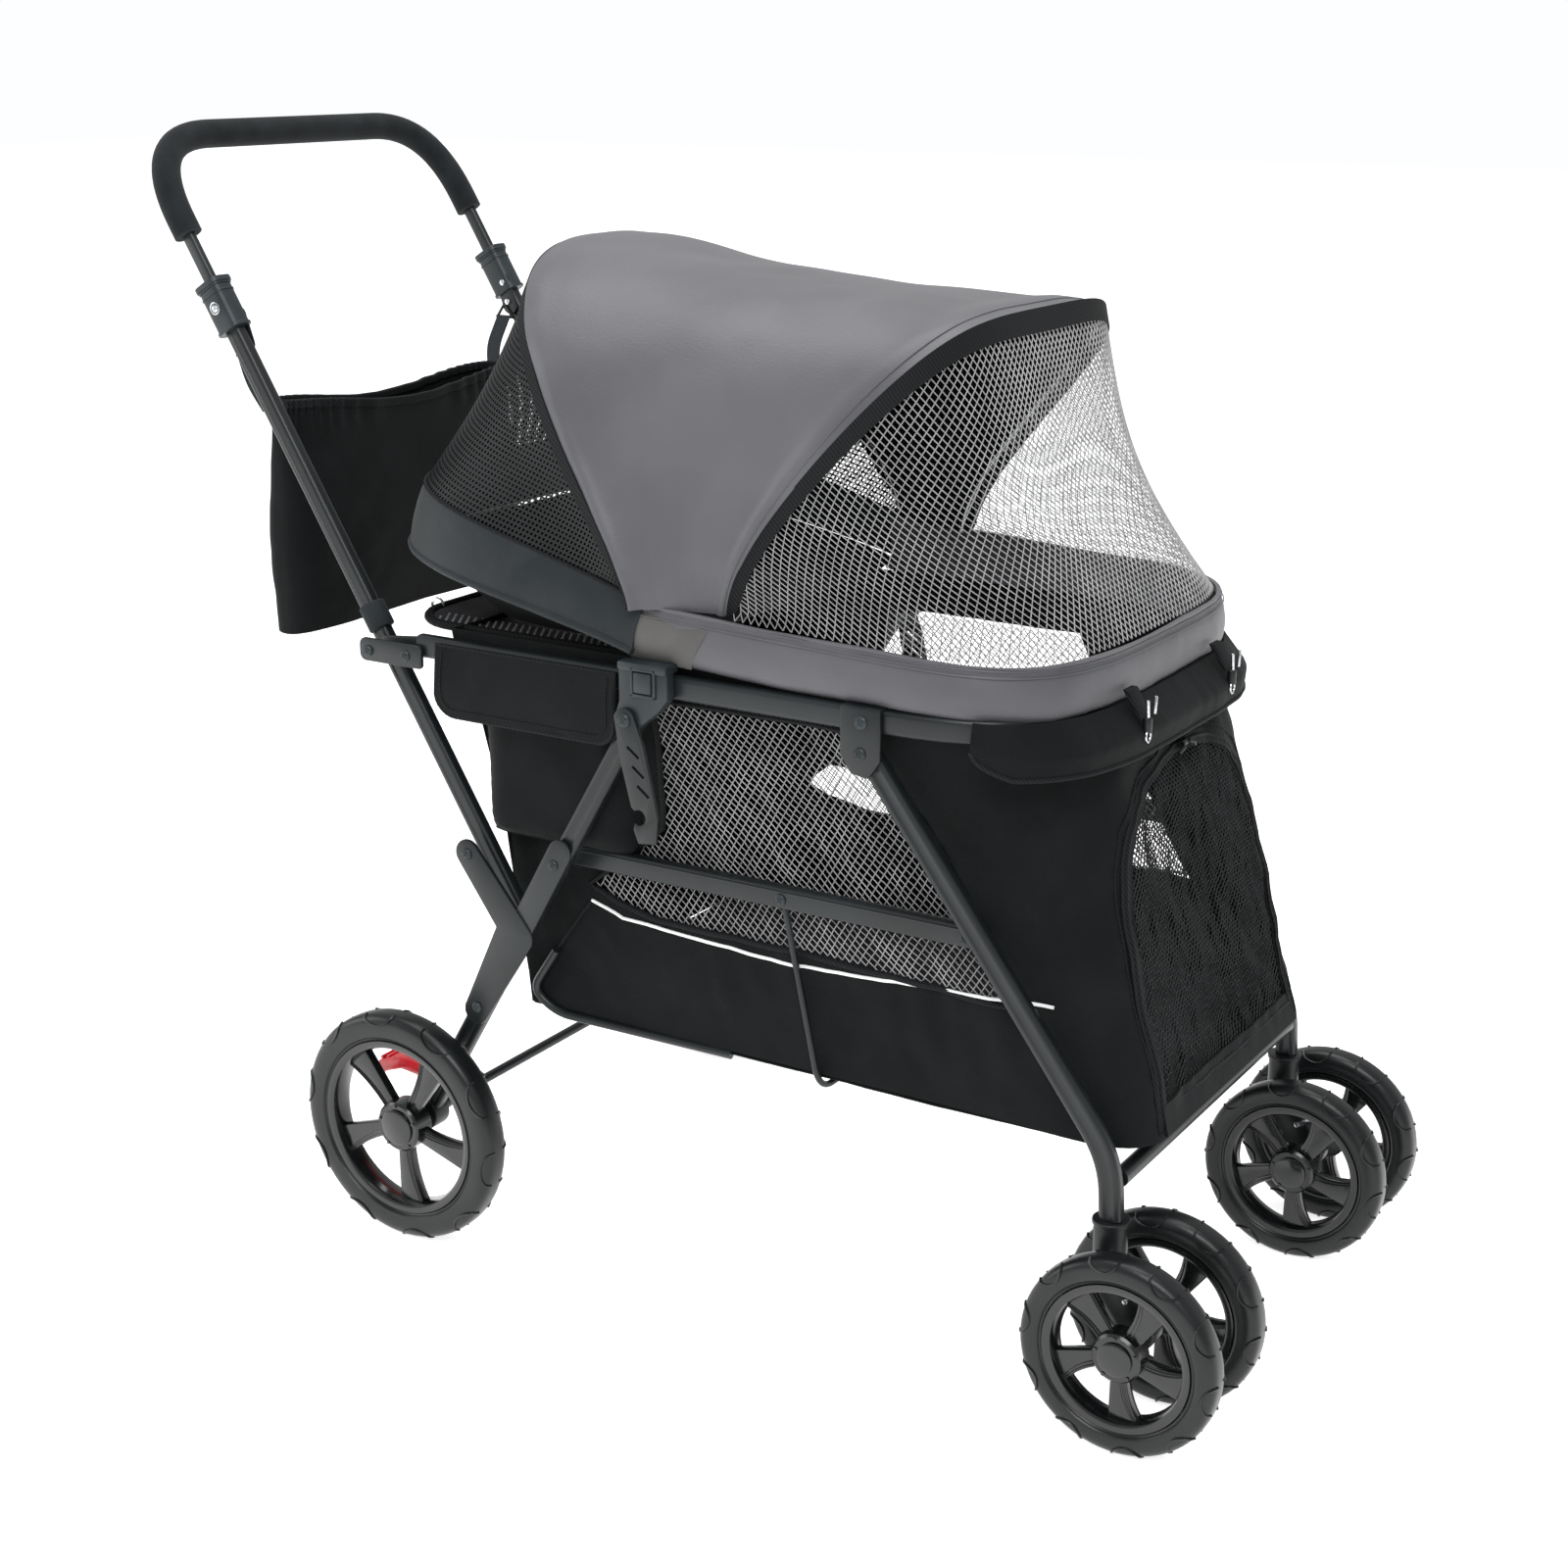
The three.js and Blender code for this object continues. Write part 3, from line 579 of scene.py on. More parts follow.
def rivet(name, x, z, y, radius=5.5, head=2.6):
    """A domed rivet head with a shallow cross recess, facing out at the right-hand side."""
    centre = spot(x, y, z)
    section = [(0.01, 0), (radius, 0), (radius, -head * 0.35)]
    section += [(radius * 0.8, -head * 0.8), (radius * 0.45, -head), (0.01, -head)]
    dome = turned(name, section, centre, 20)
    bars = []
    for turn in (40, 130):
        a = math.radians(turn)
        run = Vector((math.cos(a), 0, math.sin(a))) * radius * 0.55 * MM
        lift = Vector((0, -head * MM, 0))
        bars.append(rod(name + "_bar", centre + lift - run, centre + lift + run, 0.7, 6))
    return joined(name, [dome, *bars])


# ---------- wheels ----------
def tyre(name, wheel, centre):
    radius, half, seat = wheel["radius"], wheel["width"] / 2, wheel["rim"]
    section = [(seat + 0.5, -half + 3), (seat + 2, -half + 1.6)]
    section += [(seat + 3.4, -half + 2.2), (seat + 4.6, -half + 0.8)]
    for turn in range(0, 181, 12):
        a = math.radians(turn)
        bulge = abs(math.sin(a)) ** 0.62
        across = math.copysign(abs(math.cos(a)) ** 0.62, math.cos(a))
        section.append((radius - 15 + 15 * bulge, -half * across))
    section += [(r, -a) for r, a in section[3::-1]]
    body = turned(name, section, centre, 96)
    lugs = [body]
    for side in (-1, 1):
        for i in range(10):
            lugs.append(tread_lug(name, wheel, centre, side, FULL_TURN * (i + 0.25 * side) / 10))
    return joined(name, lugs)


def tread_lug(name, wheel, centre, side, turn):
    """A raised D on the tyre's shoulder: a thin rib that loops from the tread down the wall and back."""
    radius, half = wheel["radius"], wheel["width"] / 2
    path = []
    for i in range(13):
        t = i / 12
        swing = math.pi * t
        drop = math.sin(swing) ** 0.7
        spread = math.cos(swing) * 0.155
        a = math.radians(75 - 66 * drop)
        r = radius - 15 + 15.4 * math.sin(a) ** 0.62
        y = side * (half + 0.4) * math.cos(a) ** 0.62
        angle = turn + spread
        path.append(centre + Vector((math.cos(angle) * r, y, math.sin(angle) * r)) * MM)
    return sweep(name + "_lug", path, ring(1.1, 6), twist="MINIMUM")


def spoke(name, wheel, centre):
    """One spoke: narrow at the hub, swept wider towards the rim, with stepped ribs down one edge."""
    hub, rim = wheel["hub"] - 3, wheel["rim"] - 4
    cx, cz = (centre.x - AXLE_X) / MM, centre.z / MM

    def swept(t, step):
        return 7.5 - step + (13 + step * 0.4) * t ** 2.2

    count = 7
    low_edge = [(hub + (rim - hub) * i / count, -7.5 - 3.5 * (i / count)) for i in range(count + 1)]
    high_edge = [(hub + (rim - hub) * i / count, swept(i / count, 0)) for i in range(count + 1)]
    outline = [(cx + r, cz + w) for r, w in low_edge + high_edge[::-1]]
    near, far = centre.y / MM - 5, centre.y / MM + 5
    pieces = [plate(name, outline, near, far, 1.6)]
    for face in (-1, 1):
        for step in (2.5, 5.5):
            line = [(hub + (rim - hub) * i / 8, face * 5, swept(i / 8, step)) for i in range(9)]
            path = [centre + Vector(point) * MM for point in line]
            pieces.append(sweep(name + "_rib", path, ring(0.9, 6)))
    return joined(name, pieces)


def rim(name, wheel, centre, side):
    outer, half, hub = wheel["rim"], wheel["width"] / 2, wheel["hub"]
    band = [(outer - 7, -half + 3.5), (outer - 4, -half + 2), (outer, -half + 2), (outer, half - 2)]
    band += [(outer - 4, half - 2), (outer - 7, half - 3.5), (outer - 9, half - 8), (outer - 9, -half + 8)]
    boss = [(5, -half + 3), (hub - 2, -half + 3), (hub, -half + 5)]
    boss += [(r, -across) for r, across in boss[::-1]]
    pieces = [turned(name, band, centre, 96), turned(name + "_boss", boss, centre, 40)]
    one = spoke(name + "_spoke", wheel, centre)
    for i in range(5):
        turn = Matrix.Rotation(FULL_TURN * (i + 0.2) / 5, 4, "Y")
        about = Matrix.Translation(centre) @ turn @ Matrix.Translation(-centre)
        pieces.append(copied(one, name + "_spoke", about))
    bpy.data.objects.remove(one)
    face = side * (half - 3)
    cap = [(0.01, face), (hub - 7, face), (hub - 7, face + side * 1.8)]
    cap += [(hub - 9, face + side * 2.8), (0.01, face + side * 2.8)]
    pieces.append(turned(name + "_cap", cap, centre, 40))
    for i in range(5):
        a = FULL_TURN * (i + 0.3) / 5
        start = centre + Vector(((hub - 3.6) * math.cos(a), face - side, (hub - 3.6) * math.sin(a))) * MM
        pieces.append(rod(name + "_screw", start, start + Vector((0, side * 2.2 * MM, 0)), 1.7, 12))
    return joined(name, pieces)


def make_wheels():
    places = []
    for side, sign in (("right", -1), ("left", 1)):
        x, y, z = REAR_HUB
        places.append(("rear_" + side, "rear_wheel_" + side, REAR_WHEEL, spot(x, sign * y, z), sign))
        for label, offset in (("outer", 1), ("inner", -1)):
            y = sign * (CASTER[1] + offset * CASTER_HALF)
            name = f"{side}_{label}"
            centre = spot(FRONT_HUB_X, y, FRONT_WHEEL["radius"])
            places.append(("front_" + name, "front_wheel_" + name, FRONT_WHEEL, centre, sign * offset))
    first = {}
    for name, body, wheel, centre, facing in places:
        key = (wheel["radius"], facing)
        if key not in first:
            rubber = tyre(name + "_rubber", wheel, centre)
            casting = rim(name + "_casting", wheel, centre, facing)
            first[key] = (rubber, casting, centre)
        else:
            shift = Matrix.Translation(centre - first[key][2])
            rubber = copied(first[key][0], name + "_rubber", shift)
            casting = copied(first[key][1], name + "_casting", shift)
        placed(rubber, body, RUBBER, "tyre", name + "_tyre")
        placed(casting, body, GLOSS, "gloss_rim", name + "_rim")


# ---------- frame ----------
def evenly(line, count):
    """The same flat line as so many steps of one length."""
    run = [0.0]
    for a, b in zip(line, line[1:]):
        run.append(run[-1] + math.dist(a, b))
    made, at = [], 0
    for i in range(count + 1):
        target = run[-1] * i / count
        while at < len(run) - 2 and run[at + 1] < target:
            at += 1
        share = (target - run[at]) / (run[at + 1] - run[at])
        made.append(tuple(p + (q - p) * share for p, q in zip(line[at], line[at + 1])))
    return made


def even_arch(half, reach, power, count=400):
    """A boxy arch in even steps, each as how far across and how far along; power sets how square it is."""
    corner = 0.5 ** (1 / power)
    shares = [corner * i / 200 for i in range(201)]
    side = [((1 - t ** power) ** (1 / power), t) for t in shares]
    quarter = side + [(t, a) for a, t in side[-2::-1]]
    right = [(-across * half, along * reach) for across, along in quarter]
    return evenly(right + [(-across, along) for across, along in right[-2::-1]], count)


def hoop_line(half, rear, front, corner, power):
    """A level hoop, open at the rear, seen from above: two straight sides and a boxy round front."""
    bend = [(front - corner + along, across) for across, along in even_arch(half, corner, power)]
    return evenly([(rear, -half), *bend, (rear, half)], 480)


def beside(line, t, off=0.0):
    """A point a share t along a flat line, pushed off to its outer side."""
    place = min(max(t, 0), 1) * (len(line) - 1)
    i = min(int(place), len(line) - 2)
    (ax, ay), (bx, by) = line[i], line[i + 1]
    share, length = place - i, math.dist(line[i], line[i + 1])
    x, y = ax + (bx - ax) * share, ay + (by - ay) * share
    return x + (by - ay) / length * off, y - (bx - ax) / length * off


def make_top_rail():
    line = hoop_line(FRAME_Y, 18, 641, 200, 4.4)
    path = [spot(*beside(line, i / 80), RAIL_Z) for i in range(81)]
    placed(sweep("rail_tube", path, oval(21, 14, 4.5)), "frame", STEEL, "painted_frame", "top_rail")
    left, right, low, top = -47, 27, 566, 588
    outline = arc(left + 7, low + 7, 7, 180, 270, 5) + arc(right - 4, low + 4, 4, 270, 360, 5)
    outline += arc(right - 4, top - 4, 4, 0, 90, 5) + arc(left + 7, top - 7, 7, 90, 180, 5)
    bracket = plate("rail_bracket_plate_right", outline, -PLATE_Y - 2, -PLATE_Y + 2, 1)
    strip = stadium((-30, 577), (20, 582), 20)
    inner = plate("rail_bracket_plate_inner_right", strip, -FRAME_Y + 8, -FRAME_Y + 11, 1)
    plates = joined("rail_bracket_plate_right", [bracket, inner])
    pair(plates, "frame", STEEL, "painted_frame", "rail_bracket_right")
    ends = [rivet("rail_rivet", x, z, -PLATE_Y - 2) for x, z in (HANDLE_PIVOT, (8, 577))]
    pair(joined("rail_bracket_rivets_right", ends), "frame", SLATE, "painted_frame")


def make_hinge_plates():
    px, pz = FRONT_PIVOT
    outline = [(px - 19, 597), (px - 19, pz - 2), (px - 8, pz - 18)]
    outline += [(px + 8, pz - 20), (px + 19, pz - 4), (px + 19, 597)]
    pieces = [plate("hinge_cheek_right", outline, -PLATE_Y - 2, -PLATE_Y + 2, 1.2)]
    lip = [(px - 19, 592), (px + 19, 592), (px + 19, 598), (px - 19, 598)]
    pieces.append(plate("hinge_lip_right", lip, -PLATE_Y - 1, -FRAME_Y + 6, 1.2))
    pair(joined("hinge_cheek_right", pieces), "frame", STEEL, "painted_frame", "hinge_plate_right")
    heads = [rivet("hinge_rivet", x, z, -PLATE_Y - 2, 6) for x, z in ((px + 1, 585), (px, pz))]
    pair(joined("hinge_rivets_right", heads), "frame", SLATE, "slate_plastic")


def make_latches():
    """A moulded block with a framed square button, and the notched steel hook that hangs from its rivet."""
    x, z = LATCH
    near, far = -FRAME_Y - 8, -FRAME_Y - 20
    block = [(x - 8, 604), (x - 8, 572)] + arc(x, z, 13, 150, 315)
    block += [(x + 33, 566), (x + 43, 578), (x + 43, 604)]
    body = plate("latch_housing_right", block, near, far, 2)
    left, right, bottom, top = x + 6, x + 32, 578, 604
    frame_bars = [
        plate("latch_rim", [(a, b), (c, b), (c, d), (a, d)], far + 1, far - 2.5, 1)
        for a, b, c, d in (
            (left, bottom, right, bottom + 3),
            (left, top - 3, right, top),
            (left, bottom, left + 3, top),
            (right - 3, bottom, right, top),
        )
    ]
    lid = [(x - 8, 600), (x + 43, 600), (x + 43, 608), (x - 8, 608)]
    cap = plate("latch_cap", lid, near + 6, far - 2, 2)
    housing = joined("latch_housing_right", [body, cap, *frame_bars])
    pair(housing, "frame", SLATE, "slate_plastic", "latch_block_right")
    key = [(left + 4, bottom + 4), (right - 4, bottom + 4), (right - 4, top - 4), (left + 4, top - 4)]
    button = plate("latch_key_right", key, far + 2, far - 3.4, 1.2)
    pair(button, "latch_button_right", SLATE, "slate_plastic", "latch_button_right")

    hook = arc(x, z, 11, 10, 170) + [(x - 4, z - 40), (x + 6, z - 78)]
    hook += arc(x + 14, z - 86, 7, 130, -130, 12)
    hook += [(x + 8, z - 98), (x + 13, z - 110), (x + 32, z - 108), (x + 34, z - 84), (x + 20, z - 22)]
    steel = plate("hook_lever_right", hook, far - 1, far - 4, 0.6)
    for i in range(3):
        cx, cz = x + 9 + 5 * i, z - 28 - 17 * i
        slot = [(cx - 7, cz + 4), (cx + 5, cz - 5), (cx + 7, cz - 3), (cx - 5, cz + 6)]
        cutter = plate("hook_slot", slot, far + 4, far - 9, 0)
        modify(steel, "BOOLEAN", object=cutter, operation="DIFFERENCE", solver="EXACT")
        bpy.data.objects.remove(cutter)
    pair(settle(steel), "fold_hook_right", STEEL, "painted_frame", "fold_hook_right")
    pair(rivet("latch_rivet_right", x, z, far - 4, 6.5, 3), "frame", SLATE, "slate_plastic")


def make_rear_legs():
    top, end = spot(LATCH[0] + 5, -FRAME_Y, LATCH[1] + 8.4), spot(5, -FRAME_Y, 123.4)
    leg = sweep("rear_leg_tube_right", [top, end], oval(20, 14, 4.5, 0.7))
    hub = rod("rear_hub", spot(0, -FRAME_Y - 9, 115), spot(0, -FRAME_Y + 12, 115), 17, 32, 1.5)
    pair(joined("rear_leg_tube_right", [leg, hub]), "rear_legs", STEEL, "painted_frame", "rear_leg_right")
    strip = stadium((178, 416), (133, 338), 25)
    gusset = plate("leg_gusset_right", strip, -PLATE_Y + 1.4, -PLATE_Y - 1.4, 1)
    pair(gusset, "rear_legs", STEEL, "painted_frame")
    pair(rivet("gusset_rivet_right", 171, 403, -PLATE_Y - 1.4), "rear_legs", SLATE, "painted_frame")
    axle = rod("axle_rod", spot(0, -268, 115), spot(0, 268, 115), 5, 24)
    placed(axle, "rear_legs", STEEL, "painted_frame", "rear_axle")
    holder = plate("pedal_holder_right", stadium((0, 115), (-20, 129), 15), -FRAME_Y + 13, -FRAME_Y + 29, 1)
    pair(holder, "rear_legs", NYLON, "black_plastic")


def make_brake_pedals():
    outline = [(-95, 130), (-88, 137), (-60, 146), (-38, 145), (-20, 139)] + arc(-20, 129, 9, 60, -90, 8)
    outline += [(-40, 131), (-60, 133), (-80, 126), (-92, 117)]
    lever = plate("pedal_lever_right", outline, -156, -196, 2)
    treads = []
    for i in range(5):
        x, z = -88 + 8 * i, 138.5 + 3 * math.sin(i * 0.6)
        treads.append(rod("pedal_tread", spot(x, -160, z), spot(x, -192, z), 1.6, 10))
    pedal = joined("pedal_lever_right", [lever, *treads])
    pair(pedal, "brake_pedal_right", RED, "brake_red", "brake_pedal_right")


def make_elbows():
    """Bent links, pressed from plate, from the handle tube to the rear leg."""
    (tx, tz), (kx, kz), (fx, fz) = (72, 397), (131, 326), (75, 241)
    near, far = -FRAME_Y - 8.5, -FRAME_Y - 13
    outline = arc(tx, tz, 13.5, 40, 220, 12) + [(kx - 28, kz + 5)] + arc(fx, fz, 13.5, 145, 325, 12)
    outline += arc(kx, kz, 14, -30, 38, 8)
    link = plate("elbow_link_right", outline, near, far, 1.4)
    pair(link, "elbows", STEEL, "painted_frame", "elbow_bracket_right")
    heads = [rivet("elbow_rivet", x, z, far) for x, z in ((tx, tz), (fx + 2, fz + 4))]
    pair(joined("elbow_rivets_right", heads), "elbows", SLATE, "painted_frame")


def make_front_legs():
    px, pz = FRONT_PIVOT
    points = [
        spot(px - 5, -FRAME_Y, pz + 7.3),
        spot(712, -CASTER[1] - 2, 236),
        spot(CASTER[0] + 1, -CASTER[1] - 2, CASTER[2] + 1),
    ]
    leg = sweep("front_leg_tube_right", bent(points, 30, 12), oval(20, 14, 4.5, 0.7))
    pair(leg, "front_legs", STEEL, "painted_frame", "front_leg_right")
    tube = rod("cross_tube", spot(716, -192, 216), spot(716, 192, 216), 8, 28)
    placed(tube, "front_legs", STEEL, "painted_frame", "front_cross_tube")


def make_side_bars():
    start, end = spot(163, -BAR_Y, 403), spot(585, -BAR_Y, 404)
    bar = sweep("side_bar_channel_right", [start, end], oval(20, 12, 2.5))
    bead = rod("side_bar_bead", spot(166, -BAR_Y - 6, 409), spot(580, -BAR_Y - 6, 410), 1.2, 8)
    channel = joined("side_bar_channel_right", [bar, bead])
    pair(channel, "side_bars", STEEL, "painted_frame", "side_bar_right")
    heads = [rivet("side_bar_rivet", x, 402, -BAR_Y - 6.4, 5.5, 2.2) for x in (392, 573)]
    pair(joined("side_bar_rivets_right", heads), "side_bars", SLATE, "slate_plastic")
    y = BAR_Y - 2
    path = bent([spot(392, -y, 392.5), spot(428, -y, 227), spot(428, y, 227), spot(392, y, 392.5)], 22)
    wire = sweep("floor_wire_rod", path, ring(3, 12), twist="MINIMUM")
    placed(wire, "side_bars", STEEL, "painted_frame", "floor_wire")


def make_floor_hoops():
    """The bent rods that hold the floor's rear corners."""
    corner = [spot(138, -193, 300), spot(108, -193, 255), spot(136, -192, 236), spot(330, -188, 236)]
    rod_piece = sweep("floor_hoop_right", bent(corner, 16), ring(4.2, 14), twist="MINIMUM")
    pair(rod_piece, "frame", STEEL, "painted_frame")


def make_casters():
    x, y, top = CASTER
    hub_z = FRONT_WHEEL["radius"]
    socket = rod("caster_socket", spot(x, -y, top - 42), spot(x, -y, top), 14.5, 32, 1)
    cuff = rod("caster_cuff", spot(x, -y, top - 4), spot(x, -y, top + 0.4), 16, 32, 1)
    arm = [(x - 15, 148), (x + 15, 148), (x + 22, 130), (FRONT_HUB_X + 13, 98)]
    arm += arc(FRONT_HUB_X, hub_z, 14, 30, -160, 12) + [(x - 2, 112), (x - 12, 130)]
    fork = plate("caster_arm", arm, -y - 12, -y + 12, 3)
    reach = CASTER_HALF + 9
    ends = [spot(FRONT_HUB_X, -y + side * reach, hub_z) for side in (-1, 1)]
    axle = rod("caster_axle", *ends, 4.5, 20)
    body = joined("caster_fork_casting_right", [socket, cuff, fork, axle])
    pair(body, "caster_right", NYLON, "black_plastic", "caster_fork_right")
    pin = rod("caster_pin", spot(x + 22, -y - 17, 118), spot(x + 22, -y + 17, 118), 2.4, 14, 0.6)
    lever = plate("caster_lever", stadium((x + 22, 118), (x + 40, 128), 6), -y + 12.6, -y + 15, 0.6)
    pair(joined("swivel_lock_right", [pin, lever]), "caster_right", CHROME, "bare_steel")


# ---------- handle ----------
def make_handle():
    tube = sweep("handle_tube_oval_right", [on_handle(-283), on_handle(374)], oval(19, 13, 4.5, 1.0))
    pair(tube, "handle_lower", STEEL, "painted_frame", "handle_tube_right")
    parts = [
        sweep("sleeve", [on_handle(a), on_handle(b)], oval(wide, deep, corner))
        for a, b, wide, deep, corner in (
            (330, 372, 29, 23, 7.5),
            (371, 374, 31, 25, 8),
            (373, 378, 33, 27, 8.5),
            (328, 331, 31, 25, 8),
            (364, 366, 30.4, 24.4, 8),
        )
    ]
    sleeve = joined("sleeve_moulding_right", parts)
    bevel_edges(sleeve, 0.6, 2, 50)
    pair(settle(sleeve), "handle_lower", SLATE, "slate_plastic", "handle_sleeve_right")
    centre = on_handle(352, -HANDLE_Y - 11.5)
    eye = turned("button_eyelet_right", [(4.6, 0.2), (6.2, 0.2), (6, -1), (4.8, -1.2)], centre, 28)
    pair(eye, "handle_lower", CHROME, "bare_steel")
    section = [(0.01, 0.4), (4, 0.4), (3.9, -1.2), (2.6, -2.2), (0.01, -2.5)]
    dome = turned("button_dome_right", section, centre, 24)
    pair(dome, "handle_button_right", CHROME, "black_plastic", "handle_button_right")

    def corners(start):
        left = [on_handle(531, HANDLE_Y), on_handle(start, HANDLE_Y)]
        return [on_handle(start), on_handle(531)] + left

    bar = sweep("handle_inner_bar", bent(corners(235), 88, 16), oval(14, 8, 3.4))
    placed(bar, "handle_upper", STEEL, "painted_frame", "handle_bar")
    grip = sweep("foam_grip", bent(corners(428), 88, 20), ring(13.5, 32))
    bevel_edges(grip, 2.2, 3, 60)
    placed(settle(grip, 50), "handle_upper", FOAM, "grip_foam", "handle_grip")


def inside(point, loop):
    """True where a flat point lies inside a closed loop of points."""
    x, y = point
    within = False
    for (ax, ay), (bx, by) in zip(loop, loop[1:] + loop[:1]):
        if (ay > y) != (by > y) and x < (bx - ax) * (y - ay) / (by - ay) + ax:
            within = not within
    return within


def stepped(loop, spacing, closed=True):
    """A loop with extra points, so that none of its edges is longer than the spacing."""
    made = []
    ends = loop[1:] + loop[:1] if closed else loop[1:]
    for a, b in zip(loop, ends):
        count = max(1, math.ceil(math.dist(a, b) / spacing))
        made += [(a[0] + (b[0] - a[0]) * i / count, a[1] + (b[1] - a[1]) * i / count) for i in range(count)]
    return made if closed else made + [loop[-1]]


def cut_cloth(name, outline, holes, lay, spacing, thickness):
    """Cloth cut to an outline with holes, in millimetres on the flat, laid on a surface and thickened."""
    loops = [stepped(loop, spacing) for loop in [outline, *holes]]
    points, edges = [], []
    for loop in loops:
        first, count = len(points), len(loop)
        points += loop
        edges += [(first + i, first + (i + 1) % count) for i in range(count)]
    xs, ys = [x for x, y in outline], [y for x, y in outline]
    for i in range(int((max(xs) - min(xs)) / spacing) + 1):
        for j in range(int((max(ys) - min(ys)) / spacing) + 1):
            point = (min(xs) + (i + 0.5 + 0.5 * (j % 2)) * spacing, min(ys) + (j + 0.5) * spacing)
            if inside(point, loops[0]) and not any(inside(point, hole) for hole in loops[1:]):
                points.append(point)
    cut = delaunay_2d_cdt([Vector(p) for p in points], edges, [], 0, 0.05)
    flat, faces = cut[0], cut[2]
    kept = []
    for face in faces:
        middle = sum((flat[i] for i in face), Vector((0, 0))) / len(face)
        if inside(middle, loops[0]) and not any(inside(middle, hole) for hole in loops[1:]):
            kept.append(face)
    mesh = bpy.data.meshes.new(name)
    mesh.from_pydata([lay(x, y) for x, y in flat], [], kept)
    piece = bpy.data.objects.new(name, mesh)
    bpy.context.collection.objects.link(piece)
    modify(piece, "SOLIDIFY", thickness=thickness * MM, offset=0)
    edit(piece)
    return settle(piece, 60)


def net(name, outline, lay, across, up, strand, square=False):
    """A net knitted on a surface: strands between knots, which lie in a diamond or a square lattice."""
    xs, ys = [x for x, y in outline], [y for x, y in outline]
    knots = {}
    for i in range(int((max(xs) - min(xs)) / across) + 1):
        for j in range(int((max(ys) - min(ys)) / up) + 1):
            x, y = min(xs) + i * across, min(ys) + j * up
            if (square or (i + j) % 2 == 0) and inside((x, y), outline):
                point = lay(x, y)
                normal = (lay(x + 1, y) - point).cross(lay(x, y + 1) - point).normalized()
                knots[i, j] = (point, normal)
    steps = ((1, 0), (0, 1)) if square else ((1, 1), (1, -1))
    points, faces = [], []
    for (i, j), (start, normal) in knots.items():
        for di, dj in steps:
            if (i + di, j + dj) not in knots:
                continue
            end = knots[i + di, j + dj][0]
            side = (end - start).cross(normal).normalized() * strand * MM / 2
            lift = normal * strand * MM * 0.4
            n = len(points)
            for knot in (start, end):
                points += [knot + side - lift, knot - side - lift, knot + lift]
            faces += [(n + a, n + b, n + b + 3, n + a + 3) for a, b in ((0, 1), (1, 2), (2, 0))]
    mesh = bpy.data.meshes.new(name)
    mesh.from_pydata(points, [], faces)
    piece = bpy.data.objects.new(name, mesh)
    bpy.context.collection.objects.link(piece)
    edit(piece)
    return settle(piece, 60)


def rumple(x, y, depth, grain=90, seed=0.0):
    """How far cloth stands off its plain surface, in millimetres: soft folds, the same each time."""
    return depth * noise.fractal(Vector((x / grain, y / grain, seed)), 1.0, 2.0, 3)


def cabin_plan(z):
    """The cabin's front, half-width and corner radius at a height."""
    rise = min(1, max(0, (z - 420) / 155))
    tuck = 14 * min(1, max(0, (z - 570) / 33)) ** 2
    front = 738 - 0.2095 * (z - FLOOR_Z) - tuck
    corner = 40 + 110 * min(1, max(0, (z - FLOOR_Z) / 330)) ** 2.2
    return front, 189 + 26 * rise ** 2, corner


def cabin_rear(z):
    """The cabin's rear edge at a height: it leans back, and a little more so in its upper half."""
    return 105 - (z - 236) * 0.145 if z < 409 else 80 - (z - 409) * 0.18


def around(x, z):
    """How far round from the middle of the front a point of the cabin's side lies, in millimetres."""
    front, half, corner = cabin_plan(z)
    return half - corner + math.pi / 2 * corner + front - corner - x


def cabin_point(s, z, off=0.0):
    """A point of the cabin's cloth, s round from the middle of the front, z up, and off its surface."""
    front, half, corner = cabin_plan(z)
    a, sign = abs(s), math.copysign(1, s)
    flat = half - corner
    if a < flat:
        x, y, out = front, a, (1, 0)
    elif a < flat + math.pi / 2 * corner:
        turn = (a - flat) / corner
        out = (math.cos(turn), math.sin(turn))
        x, y = front - corner + corner * out[0], flat + corner * out[1]
    else:
        x, y, out = front - corner - (a - flat - math.pi / 2 * corner), half, (0, 1)
    return spot(x + out[0] * off, sign * (y + out[1] * off), z)


def cabin_cloth(s, z, off=0.0):
    """The same point with the cloth's slack: it sinks and creases between its frame and its seams."""
    depth = min(1, max(0, (z - FLOOR_Z) / 40)) * min(1, max(0, (CABIN_TOP - z) / 40))
    front_share = max(0, 1 - abs(s) / 260)
    creases = rumple(s, z, 4.2 + 3 * front_share) + rumple(s * 1.6, z * 0.7, 2.1, 30, 9)
    return cabin_point(s, z, depth * (creases - 1.5 - 3 * front_share) + off)


WINDOW = [(264, 568), (258, 440), (176, 372), (205, 360), (250, 351)]
WINDOW += [(400, 350), (616, 343), (560, 440), (478, 568)]
DOOR_HALF, DOOR_BOTTOM, DOOR_TOP = 142, 262, 531


def cabin_lay(off):
    """The cabin's cloth as a surface to lay other pieces on, so many millimetres off it."""
    return lambda s, z: cabin_cloth(s, z, off)


def side_loop(points, side=-1):
    """A loop on the cabin's side, in x and z, as the distances round the cloth that cabin_cloth takes."""
    loop = stepped(points, 25)
    return [(side * around(x, z), z) for x, z in loop]


def door_loop(grow=0.0):
    """The front door: straight below, with a round arch above."""
    half, reach = DOOR_HALF + grow, 150
    bend = even_arch(half, reach, 2.4, 30)
    top = [(x, DOOR_TOP + grow - reach + up) for x, up in bend]
    return [(-half, DOOR_BOTTOM - grow)] + top + [(half, DOOR_BOTTOM - grow)]


def seam(name, points, lay, section, closed=False):
    """A cord or band sewn along a line of flat points on a surface."""
    return sweep(name, [lay(x, y) for x, y in points], section, closed, "MINIMUM")


